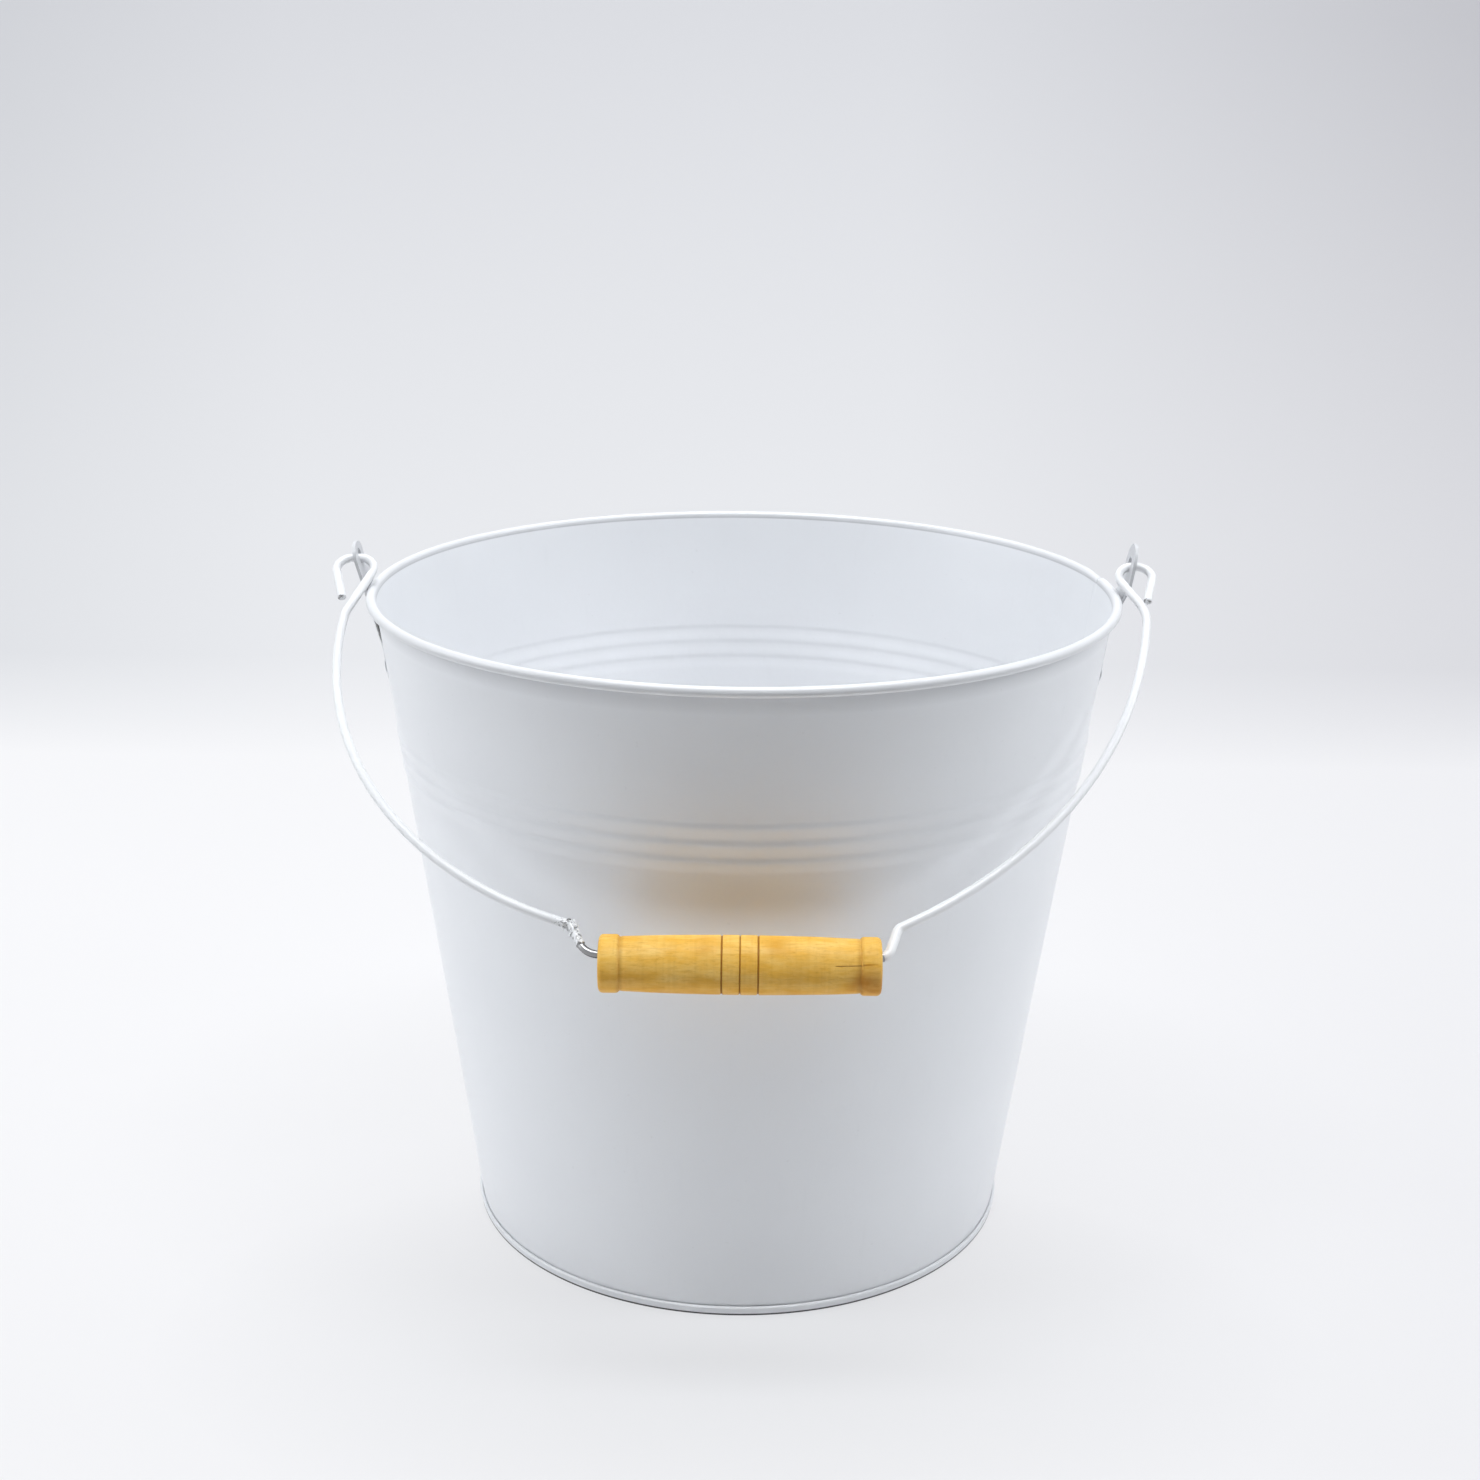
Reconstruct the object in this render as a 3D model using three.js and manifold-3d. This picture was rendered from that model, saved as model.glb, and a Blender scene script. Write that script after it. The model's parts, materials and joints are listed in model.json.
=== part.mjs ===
// Painted steel bucket with a wire bail and a turned wooden grip.
// Millimetres, +Z up. The origin is on the floor under the middle of the base.
// The ears stand at +X and -X, and the bail hangs down at the front, towards -Y.

import * as THREE from 'three';
import { mergeVertices } from 'three/addons/utils/BufferGeometryUtils.js';
import Module from 'manifold-3d';

const wasm = await Module();
wasm.setup();

// Sheet metal
const WALL_SHEET = 0.5;
const BASE_SHEET = 0.5;
const GAP = 0.3; // clearance between pieces that lie on each other

// Bucket
const HEIGHT = 260; // floor to the top of the rolled rim
const RIM_RADIUS = 145; // bucket axis to the middle of the rim wire
const RIM_WIRE_DIAMETER = 2.2;
const ROLL_TURN = 310; // degrees that the rim wraps round its wire
const FOOT_RADIUS = 109; // outside of the folded seam between wall and base
const SEAM_HEIGHT = 3.9; // floor to the top of that seam
const BASE_RECESS = 5; // floor to the underside of the base panel
const FOOT_CHAMFER = 0.4;

// Stiffening beads rolled into the wall
const BEAD_COUNT = 3;
const BEAD_PITCH = 6.7;
const BEAD_RISE = 1;
const BEAD_DROP = 56.3; // top of the rim down to the crest of the top bead

// Lock seam that closes the wall at the side
const SIDE_SEAM_WIDTH = 7;
const SIDE_SEAM_RISE = 0.8;
const SIDE_SEAM_AZIMUTH = 8; // degrees from the right ear towards the back
const SIDE_SEAM_MARGIN = 1; // bare wall left between the lock seam and the foot or the rim

// Ears
const EAR_PLATE = 1.2;
const EAR_WIDTH = 16;
const EAR_STANDOFF = 1.4; // gap between the rim roll and the leg of the ear that passes it
const EAR_KNEE_RISE = 1.5; // top of the rim up to the bend where the leg turns upright
const EAR_LEAN = 9.5; // degrees that the upright still leans outwards
const EAR_HOLE_DIAMETER = 6;
const EAR_HOLE_RISE = 10; // top of the rim up to the middle of the ear hole
const LEFT_EAR_CROWN = 5.8; // middle of the ear hole up to the top of the ear
const RIGHT_EAR_CROWN = 8.2;
const EAR_STEP = 1.4; // step that takes the leg off the wall, at the top of the tab
const EAR_STEP_RISE = 2.4; // height over which the plate makes that step
const EAR_TAB_DROP = 27.5; // top of the rim down to the top of the riveted tab
const EAR_TAB_LENGTH = 10.5;
const EAR_TAB_CORNER = 2;

// Rivets, two in each ear
const RIVET_DIAMETER = 4;
const RIVET_HEAD_DIAMETER = 6.8;
const RIVET_HEAD_RISE = 0.9;
const RIVET_SPACING = 8.4;

// Grip
const GRIP_LENGTH = 95.3;
const GRIP_DIAMETER = 20.3; // at the belly
const GRIP_COLLAR_DIAMETER = 19.9;
const GRIP_NECK_DIAMETER = 18.6;
const GRIP_BORE = 11.3;
const GRIP_COLLAR = 5.7; // length of the collar at each end
const GRIP_COLLAR_ROUND = 1.6;
const GRIP_SHOULDER = 150; // degrees, where the collar's inner round runs into the slope
const GRIP_NECK = 2.3; // length of the slope from a collar down to the neck
const GROOVE_COUNT = 3;
const GROOVE_SPACING = 6.15;
const GROOVE_WIDTH = 0.9;
const GROOVE_DEPTH = 0.5;

// Bail, one wire bent in a plane. Its eyes are given by the corners of the bent wire,
// measured across from the ear hole and down along the bail.
const WIRE_DIAMETER = 3.6;
const BAIL_LENGTH = 188; // ear hole to the axis of the grip
const GRIP_STANDOFF = 16; // gap between the wall and the grip of the bail at rest
const EYE_BEND = 6; // bend radius of the eyes
const EYE_OUTER = 9.7; // ear hole out to the outer corner of the eye
const EYE_INNER = 9; // ear hole in to the inner corner of the eye
const EYE_TAIL_OFFSET = 4.6; // ear hole out to the cut end of the wire
const EYE_TAIL_DROP = 18.8; // ear hole down to the cut end of the wire
const ARM_DROP = 29; // ear hole down to where the eye turns into the arm
const ARM_BEND = 10; // bend radius there
const JOGGLE_DROP = 11.8; // height of the step from an arm down to the grip
const JOGGLE_BEND = 3.2; // bend radius of that step

// The wire is bent by hand, so the two arms of the bail differ
const LEFT_ARM_OFFSET = 1.6; // ear hole out to where the eye turns into the arm
const RIGHT_ARM_OFFSET = 3.4;
const LEFT_ARM_LEAN = -4.5; // degrees that the arm leans inwards where it leaves the eye
const RIGHT_ARM_LEAN = 8.5;
const LEFT_ARM_TURN = 70.5; // degrees that the arm leans inwards where it meets the step
const RIGHT_ARM_TURN = 61.4;
const LEFT_JOGGLE_LEAD = 4.8; // end of the grip out to the step
const RIGHT_JOGGLE_LEAD = 2.5;
const LEFT_JOGGLE_RUN = 5.3; // width of the step
const RIGHT_JOGGLE_RUN = 3.8;

// Facets
const RING_SEGMENTS = 56; // round the bucket
const GRIP_SEGMENTS = 28;
const RIVET_SEGMENTS = 12;
const HOLE_SEGMENTS = 20;
const EAR_TOP_STEPS = 10;
const ROLL_STEPS = 9;
const BEAD_STEPS = 4;
const ROUND_STEPS = 4; // on small rounded edges and rivet heads
const NECK_STEPS = 2;
const BELLY_STEPS = 4;
const RIM_WIRE_SIDES = 6;
const WIRE_SIDES = 10;
const BEND_SAG = 0.1; // most that a chord of the wire may leave its true bend

// Both ears are made at the right and then turned into place. After that turn,
// the bucket's front lies on this side of the ear.
const EARS = [
  { name: 'right_ear', turn: 0, front: -1, crown: RIGHT_EAR_CROWN },
  { name: 'left_ear', turn: Math.PI, front: 1, crown: LEFT_EAR_CROWN },
];

// The two arms of the bail
const LEFT_ARM = {
  side: -1,
  offset: LEFT_ARM_OFFSET,
  lean: LEFT_ARM_LEAN,
  turn: LEFT_ARM_TURN,
  lead: LEFT_JOGGLE_LEAD,
  run: LEFT_JOGGLE_RUN,
};
const RIGHT_ARM = {
  side: 1,
  offset: RIGHT_ARM_OFFSET,
  lean: RIGHT_ARM_LEAN,
  turn: RIGHT_ARM_TURN,
  lead: RIGHT_JOGGLE_LEAD,
  run: RIGHT_JOGGLE_RUN,
};

// Sizes that follow from the ones above
const radians = THREE.MathUtils.degToRad;
const wireRadius = WIRE_DIAMETER / 2;
const rollRadius = RIM_WIRE_DIAMETER / 2 + GAP + WALL_SHEET;
const rollHeight = HEIGHT - rollRadius;
const wallTopRadius = RIM_RADIUS - rollRadius + WALL_SHEET;
const wallFootRadius = FOOT_RADIUS - BASE_SHEET - GAP - WALL_SHEET;
const wallSlope = (wallTopRadius - wallFootRadius) / rollHeight;
const wallTaper = Math.atan(wallSlope);
const beadTop = HEIGHT - BEAD_DROP + BEAD_PITCH / 2;
const beadBottom = beadTop - BEAD_COUNT * BEAD_PITCH;

const earHoleHeight = HEIGHT + EAR_HOLE_RISE;
const earKnee = HEIGHT + EAR_KNEE_RISE;
const earTabTop = HEIGHT - EAR_TAB_DROP;
const earTabBottom = earTabTop - EAR_TAB_LENGTH;
const earLegBottom = earTabTop + EAR_STEP_RISE;
const rivetHeight = (earTabTop + earTabBottom) / 2;

const gripRadius = GRIP_DIAMETER / 2;
const gripPlay = GRIP_BORE / 2 - wireRadius - GAP;
const pivotHeight = earHoleHeight - (EAR_HOLE_DIAMETER / 2 - wireRadius - GAP);
const pivotOffset = uprightMiddle(pivotHeight);

// Outer face of the plain wall
function wallRadius(z) {
  return wallFootRadius + wallSlope * z;
}

// How far the beads stand out of the wall
function beadRise(z) {
  const turns = (z - beadBottom) / BEAD_PITCH;
  return (BEAD_RISE / 2) * (1 - Math.cos(2 * Math.PI * turns));
}

// Middle of the ear's tab, which lies on the wall
function tabMiddle(z) {
  return wallRadius(z) + (GAP + EAR_PLATE / 2) / Math.cos(wallTaper);
}

// Middle of the ear's leg, which starts a step off the wall and just misses the rim roll
function legMiddle(z) {
  const start = tabMiddle(earLegBottom) + EAR_STEP;
  const toRoll = point(RIM_RADIUS - start, rollHeight - earLegBottom);
  const miss = rollRadius + EAR_STANDOFF + EAR_PLATE / 2;
  const lean = Math.atan2(toRoll.x, toRoll.y) + Math.asin(miss / toRoll.length());
  return start + (z - earLegBottom) * Math.tan(lean);
}

// Middle of the ear's upright, which holds the hole
function uprightMiddle(z) {
  return legMiddle(earKnee) + (z - earKnee) * Math.tan(radians(EAR_LEAN));
}

// The bail comes to rest on the rim, with the grip held off the front of the wall
function restAngle() {
  const reach = wallRadius(pivotHeight) + (gripRadius + GRIP_STANDOFF) / Math.cos(wallTaper);
  return wallTaper + Math.acos((reach / BAIL_LENGTH) * Math.cos(wallTaper));
}

function point(x, y) {
  return new THREE.Vector2(x, y);
}

// Points on an arc, angles in degrees
function arc(centreX, centreY, radius, from, to, steps) {
  return Array.from({ length: steps + 1 }, (_, i) => {
    const angle = radians(from + ((to - from) * i) / steps);
    return point(centreX + radius * Math.cos(angle), centreY + radius * Math.sin(angle));
  });
}

// Ring turned round the bucket's axis. Its facets touch the true circle at their middles,
// and a facet faces each ear, the front and the back.
function turnRing(profile) {
  const outward = 1 / Math.cos(Math.PI / RING_SEGMENTS);
  const points = profile.map((p) => point(p.x * outward, p.y));
  const geometry = new THREE.LatheGeometry(points, RING_SEGMENTS, Math.PI / RING_SEGMENTS);
  return geometry.rotateX(Math.PI / 2);
}

function solidOf(geometry) {
  const bare = geometry.clone();
  bare.deleteAttribute('normal');
  bare.deleteAttribute('uv');
  const merged = mergeVertices(bare);
  const vertProperties = Float32Array.from(merged.attributes.position.array);
  const triVerts = Uint32Array.from(merged.index.array);
  return new wasm.Manifold(new wasm.Mesh({ numProp: 3, vertProperties, triVerts }));
}

function geometryOf(solid) {
  const { vertProperties, triVerts } = solid.getMesh();
  const geometry = new THREE.BufferGeometry();
  geometry.setAttribute('position', new THREE.BufferAttribute(vertProperties, 3));
  geometry.setIndex(new THREE.BufferAttribute(triVerts, 1));
  geometry.computeVertexNormals();
  return geometry;
}

function paintedMesh(name, geometry, roughness = 0.35) {
  const material = new THREE.MeshStandardMaterial({ color: 0xf1f3f6, roughness, metalness: 0 });
  const mesh = new THREE.Mesh(geometry, material);
  mesh.name = name;
  return mesh;
}

// Places a rivet's middle line: square to the wall, through the tab of the right ear
function placeRivet(object, side) {
  const outward = new THREE.Vector3(Math.cos(wallTaper), 0, -Math.sin(wallTaper));
  object.position.set(wallRadius(rivetHeight), (side * RIVET_SPACING) / 2, rivetHeight);
  object.quaternion.setFromUnitVectors(new THREE.Vector3(0, 1, 0), outward);
  return object;
}

// Drills the two rivet holes of one ear, through the wall or through the ear's tab
function drillRivetHoles(solid, turn) {
  const radius = RIVET_DIAMETER / 2 + GAP;
  const length = 2 * (WALL_SHEET + EAR_PLATE + 2 * GAP);
  let drilled = solid;
  for (const side of [-1, 1]) {
    const drill = new THREE.Mesh(new THREE.CylinderGeometry(radius, radius, length, RIVET_SEGMENTS));
    placeRivet(drill, side).updateMatrix();
    drilled = drilled.subtract(solidOf(drill.geometry.applyMatrix4(drill.matrix).rotateZ(turn)));
  }
  return drilled;
}

// One face of the wall through the beads, upwards
function beadedLine(inset) {
  const count = BEAD_COUNT * BEAD_STEPS;
  return Array.from({ length: count + 1 }, (_, i) => {
    const z = beadBottom + ((beadTop - beadBottom) * i) / count;
    return point(wallRadius(z) + beadRise(z) - inset, z);
  });
}

// Section of the wall: folded hem, beads, and the rim rolled outwards round its wire
function wallProfile() {
  const hemBottom = BASE_SHEET + GAP;
  const hemTop = SEAM_HEIGHT - BASE_SHEET - GAP;
  const profile = [
    point(wallRadius(hemBottom) - WALL_SHEET, hemBottom),
    point(wallRadius(hemBottom) + WALL_SHEET, hemBottom),
    point(wallRadius(hemTop) + WALL_SHEET, hemTop),
    point(wallRadius(hemTop), hemTop),
    ...beadedLine(0),
    ...arc(RIM_RADIUS, rollHeight, rollRadius - WALL_SHEET, 180, 180 - ROLL_TURN, ROLL_STEPS),
    ...arc(RIM_RADIUS, rollHeight, rollRadius, 180 - ROLL_TURN, 180, ROLL_STEPS),
    ...beadedLine(WALL_SHEET).reverse(),
  ];
  return [...profile, profile[0].clone()];
}

// Raised band of the lock seam, following the beads
function sideSeam() {
  const bottom = SEAM_HEIGHT + SIDE_SEAM_MARGIN;
  const top = HEIGHT - 2 * rollRadius - SIDE_SEAM_MARGIN;
  const sunk = WALL_SHEET / 2;
  const outside = beadedLine(-SIDE_SEAM_RISE);
  const inside = beadedLine(sunk).reverse();
  const outline = new THREE.Shape([
    point(wallRadius(bottom) - sunk, bottom),
    point(wallRadius(bottom), bottom),
    point(wallRadius(bottom) + SIDE_SEAM_RISE, bottom + SIDE_SEAM_RISE),
    ...outside,
    point(wallRadius(top) + SIDE_SEAM_RISE, top - SIDE_SEAM_RISE),
    point(wallRadius(top), top),
    point(wallRadius(top) - sunk, top),
    ...inside,
  ]);
  const strip = new THREE.ExtrudeGeometry(outline, { depth: SIDE_SEAM_WIDTH, bevelEnabled: false });
  strip.rotateX(Math.PI / 2).translate(0, SIDE_SEAM_WIDTH / 2, 0);
  return strip.rotateZ(radians(SIDE_SEAM_AZIMUTH));
}

function makeWall() {
  let wall = solidOf(turnRing(wallProfile())).add(solidOf(sideSeam()));
  for (const ear of EARS) {
    wall = drillRivetHoles(wall, ear.turn);
  }
  return paintedMesh('body_wall', geometryOf(wall));
}

function makeRimWire() {
  const section = arc(RIM_RADIUS, rollHeight, RIM_WIRE_DIAMETER / 2, 0, 360, RIM_WIRE_SIDES);
  const mesh = paintedMesh('rim_wire', turnRing(section), 0.5);
  mesh.material.color.set(0x9a9c9e);
  mesh.material.metalness = 1;
  return mesh;
}

// Recessed base panel, whose edge folds down, out and up round the hem of the wall
function makeBase() {
  const panelTop = BASE_RECESS + BASE_SHEET;
  const skirt = (z) => wallRadius(z) - WALL_SHEET - GAP;
  const foldSide = (z) => wallRadius(z) + WALL_SHEET + GAP;
  const lip = SEAM_HEIGHT - BASE_SHEET;
  const foldOutside = foldSide(SEAM_HEIGHT) + BASE_SHEET;
  const profile = [
    point(0, BASE_RECESS),
    point(skirt(BASE_RECESS) - BASE_SHEET - FOOT_CHAMFER, BASE_RECESS),
    point(skirt(BASE_RECESS) - BASE_SHEET, BASE_RECESS - FOOT_CHAMFER),
    point(skirt(0) - BASE_SHEET, FOOT_CHAMFER),
    point(skirt(0) - BASE_SHEET + FOOT_CHAMFER, 0),
    point(FOOT_RADIUS - FOOT_CHAMFER, 0),
    point(FOOT_RADIUS, FOOT_CHAMFER),
    point(foldOutside, SEAM_HEIGHT - FOOT_CHAMFER),
    point(foldOutside - FOOT_CHAMFER, SEAM_HEIGHT),
    point(wallRadius(SEAM_HEIGHT) + GAP, SEAM_HEIGHT),
    point(wallRadius(lip) + GAP, lip),
    point(foldSide(lip), lip),
    point(foldSide(BASE_SHEET), BASE_SHEET),
    point(skirt(BASE_SHEET), BASE_SHEET),
    point(skirt(panelTop), panelTop - FOOT_CHAMFER),
    point(skirt(panelTop) - FOOT_CHAMFER, panelTop),
    point(0, panelTop),
  ];
  return paintedMesh('base_disc', turnRing(profile));
}

// Outline of a bent strip of plate: its middle line, thickened to both sides
function stripOutline(middle, thickness) {
  const side = (sign) =>
    middle.map((corner, i) => {
      const before = middle[Math.max(i - 1, 0)];
      const after = middle[Math.min(i + 1, middle.length - 1)];
      const into = (i > 0 ? corner.clone().sub(before) : after.clone().sub(corner)).normalize();
      const out = (i < middle.length - 1 ? after.clone().sub(corner) : into.clone()).normalize();
      const normal = into.clone().add(out).normalize();
      const mitre = thickness / 2 / normal.dot(into);
      return point(corner.x + sign * normal.y * mitre, corner.y - sign * normal.x * mitre);
    });
  return new THREE.Shape([...side(1), ...side(-1).reverse()]);
}

// Front outline of an ear: rounded top round the hole, small corners at the tab
function earFace(crown) {
  const half = EAR_WIDTH / 2;
  const round = EAR_TAB_CORNER;
  const top = arc(0, 0, 1, 0, 180, EAR_TOP_STEPS);
  const outline = new THREE.Shape([
    ...top.map((p) => point(p.x * half, earHoleHeight + p.y * crown)),
    ...arc(round - half, earTabBottom + round, round, 180, 270, ROUND_STEPS),
    ...arc(half - round, earTabBottom + round, round, 270, 360, ROUND_STEPS),
  ]);
  const hole = arc(0, earHoleHeight, EAR_HOLE_DIAMETER / 2, 0, 360, HOLE_SEGMENTS).slice(1);
  outline.holes.push(new THREE.Path(hole));
  return outline;
}

// Ear plate: tab on the wall, step, leg that passes the rim, and upright with the hole
function makeEar(name, turn, crown) {
  const low = earTabBottom - EAR_PLATE;
  const high = earHoleHeight + EAR_WIDTH;
  const middle = [
    point(tabMiddle(low), low),
    point(tabMiddle(earTabTop), earTabTop),
    point(legMiddle(earLegBottom), earLegBottom),
    point(legMiddle(earKnee), earKnee),
    point(uprightMiddle(high), high),
  ];
  const strip = new THREE.ExtrudeGeometry(stripOutline(middle, EAR_PLATE), {
    depth: EAR_WIDTH * 2,
    bevelEnabled: false,
  });
  strip.rotateX(Math.PI / 2).translate(0, EAR_WIDTH, 0);

  const across = new THREE.Vector3(0, 1, 0);
  const up = new THREE.Vector3(0, 0, 1);
  const outward = new THREE.Vector3(1, 0, 0);
  const face = new THREE.ExtrudeGeometry(earFace(crown), { depth: 2 * RIM_RADIUS, bevelEnabled: false });
  face.applyMatrix4(new THREE.Matrix4().makeBasis(across, up, outward));

  const ear = drillRivetHoles(solidOf(strip).intersect(solidOf(face)), 0);
  return paintedMesh(name, geometryOf(ear).rotateZ(turn));
}

// Rivet with a domed head at both ends, zero at the outer face of the wall
function makeRivet(name, turn, side) {
  const radius = RIVET_DIAMETER / 2;
  const headRadius = RIVET_HEAD_DIAMETER / 2;
  const inner = -WALL_SHEET - GAP;
  const outer = GAP + EAR_PLATE + GAP;
  const dome = (seat, rise) => {
    const side = arc(0, 0, 1, 0, 90, ROUND_STEPS).slice(0, -1);
    return [...side.map((p) => point(p.x * headRadius, seat + p.y * rise)), point(0, seat + rise)];
  };
  const profile = [
    ...dome(inner, -RIVET_HEAD_RISE).reverse(),
    point(radius, inner),
    point(radius, outer),
    ...dome(outer, RIVET_HEAD_RISE),
  ];
  const mesh = placeRivet(paintedMesh(name, new THREE.LatheGeometry(profile, RIVET_SEGMENTS)), side);
  const group = new THREE.Group();
  group.rotation.z = turn;
  group.add(mesh);
  return group;
}

// A planar wire given by its corners and their bend radii, as straight legs and round bends.
// A leg has one step, and a bend has as many as keep its chords close to the true arc.
class BentWire extends THREE.Curve {
  constructor(corners) {
    super();
    this.stations = [corners[0].at];
    for (let i = 1; i < corners.length - 1; i += 1) {
      this.addBend(corners[i - 1].at, corners[i].at, corners[i + 1].at, corners[i].bend);
    }
    this.stations.push(corners[corners.length - 1].at);
    this.steps = this.stations.length - 1;
  }

  addBend(before, corner, after, radius) {
    const into = corner.clone().sub(before).normalize();
    const out = after.clone().sub(corner).normalize();
    const turn = Math.acos(into.dot(out));
    const hand = Math.sign(into.cross(out));
    const start = corner.clone().addScaledVector(into, -radius * Math.tan(turn / 2));
    const centre = start.clone().add(point(-into.y, into.x).multiplyScalar(hand * radius));
    const steps = Math.ceil(turn / (2 * Math.acos(1 - BEND_SAG / radius)));
    for (let i = 0; i <= steps; i += 1) {
      this.stations.push(start.clone().rotateAround(centre, (hand * turn * i) / steps));
    }
  }

  getPoint(t) {
    const place = t * this.steps;
    const leg = Math.min(Math.floor(place), this.steps - 1);
    const at = this.stations[leg].clone().lerp(this.stations[leg + 1], place - leg);
    return new THREE.Vector3(at.x, at.y, 0);
  }

  getUtoTmapping(u) {
    return u;
  }
}

// Corners of one half of the bail, from the cut end of its eye to the middle of the grip.
// Across is measured from the bucket's axis, down is along the hanging bail.
function halfBail(arm) {
  const corner = (across, down, bend) => ({ at: point(arm.side * across, -down), bend });
  const wireDrop = BAIL_LENGTH - gripPlay;
  const entry = GRIP_LENGTH / 2 + arm.lead;
  const armStart = point(pivotOffset + arm.offset, ARM_DROP);
  const armEnd = point(entry + arm.run, wireDrop - JOGGLE_DROP);

  // the two straight ends of the arm meet at a corner, and one wide bend fills it
  const startSlope = Math.tan(radians(arm.lean));
  const endSlope = Math.tan(radians(arm.turn));
  const span = armStart.x + startSlope * armStart.y - armEnd.x - endSlope * armEnd.y;
  const armDrop = span / (startSlope - endSlope);
  const armAcross = armEnd.x + endSlope * (armEnd.y - armDrop);
  const armCorner = point(armAcross, armDrop);
  const leg = Math.min(armCorner.distanceTo(armStart), armCorner.distanceTo(armEnd));
  const armBend = (leg - JOGGLE_BEND) / Math.tan(radians(arm.turn - arm.lean) / 2);

  return [
    corner(pivotOffset + EYE_TAIL_OFFSET, EYE_TAIL_DROP, 0),
    corner(pivotOffset + EYE_OUTER, 0, EYE_BEND),
    corner(pivotOffset - EYE_INNER, 0, EYE_BEND),
    corner(armStart.x, armStart.y, ARM_BEND),
    corner(armCorner.x, armCorner.y, armBend),
    corner(armEnd.x, armEnd.y, JOGGLE_BEND),
    corner(entry, wireDrop, JOGGLE_BEND),
  ];
}

function makeBailWire() {
  const left = halfBail(LEFT_ARM);
  const right = halfBail(RIGHT_ARM);
  const path = new BentWire([...left, ...right.reverse()]);
  const section = new THREE.Shape(arc(0, 0, wireRadius, 0, 360, WIRE_SIDES).slice(1));
  const geometry = new THREE.ExtrudeGeometry(section, { steps: path.steps, extrudePath: path });
  return paintedMesh('bail_wire', geometry);
}

// Half of the grip's outside, from its end to its middle: rounded collar, neck, swelling belly
function gripHalf() {
  const end = GRIP_LENGTH / 2;
  const collarRadius = GRIP_COLLAR_DIAMETER / 2;
  const neckRadius = GRIP_NECK_DIAMETER / 2;
  const round = GRIP_COLLAR_ROUND;
  const neck = end - GRIP_COLLAR - GRIP_NECK;
  const belly = (x) => gripRadius - (gripRadius - neckRadius) * (x / neck) ** 2;
  const profile = [
    ...arc(end - round, collarRadius - round, round, 0, 90, ROUND_STEPS),
    ...arc(end - GRIP_COLLAR, collarRadius - round, round, 90, GRIP_SHOULDER, NECK_STEPS),
  ];
  const grooveEdge = (GROOVE_SPACING * (GROOVE_COUNT - 1)) / 2 + GROOVE_WIDTH;
  for (let i = 0; i < BELLY_STEPS; i += 1) {
    const x = neck + ((grooveEdge - neck) * i) / (BELLY_STEPS - 1);
    profile.push(point(x, belly(x)));
  }
  return profile;
}

// Grooves turned into the middle of the belly, from the right to the left
function gripGrooves() {
  const points = [];
  for (let i = 0; i < GROOVE_COUNT; i += 1) {
    const x = GROOVE_SPACING * ((GROOVE_COUNT - 1) / 2 - i);
    points.push(point(x + GROOVE_WIDTH / 2, gripRadius));
    points.push(point(x, gripRadius - GROOVE_DEPTH));
    points.push(point(x - GROOVE_WIDTH / 2, gripRadius));
  }
  return points;
}

function makeGrip() {
  const end = GRIP_LENGTH / 2;
  const half = gripHalf();
  const mirrored = half.map((p) => point(-p.x, p.y)).reverse();
  const bore = [point(-end, GRIP_BORE / 2), point(end, GRIP_BORE / 2)];
  const outline = [...half, ...gripGrooves(), ...mirrored, ...bore];
  const profile = [...outline, outline[0]].map((p) => point(p.y, p.x)).reverse();
  const geometry = new THREE.LatheGeometry(profile, GRIP_SEGMENTS).rotateZ(-Math.PI / 2);
  const material = new THREE.MeshStandardMaterial({ color: 0xb8743a, roughness: 0.4, metalness: 0 });
  const mesh = new THREE.Mesh(geometry, material);
  mesh.name = 'grip';
  mesh.position.y = -BAIL_LENGTH;
  return mesh;
}

// The bail hangs from the ears in its own group, turned down from the horizontal
function makeBail() {
  const bail = new THREE.Group();
  bail.position.z = pivotHeight;
  bail.rotation.x = restAngle();
  bail.add(makeBailWire(), makeGrip());
  return bail;
}

const bucket = new THREE.Group();
bucket.add(makeWall(), makeRimWire(), makeBase());
for (const { name, turn, front, crown } of EARS) {
  bucket.add(makeEar(name, turn, crown));
  bucket.add(makeRivet(`${name}_front_rivet`, turn, front));
  bucket.add(makeRivet(`${name}_back_rivet`, turn, -front));
}
bucket.add(makeBail());

export default bucket;
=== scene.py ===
"""Looks of a white painted steel bucket with a wire bail and a turned wooden grip.

Sizes are in millimetres, and meshes are scaled to metres when they are made. The stage and its
lights are in metres. Colours are linear values.
"""

import json
import math
import random

import bpy
from mathutils import Matrix, Vector, noise
from mathutils.geometry import delaunay_2d_cdt


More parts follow.
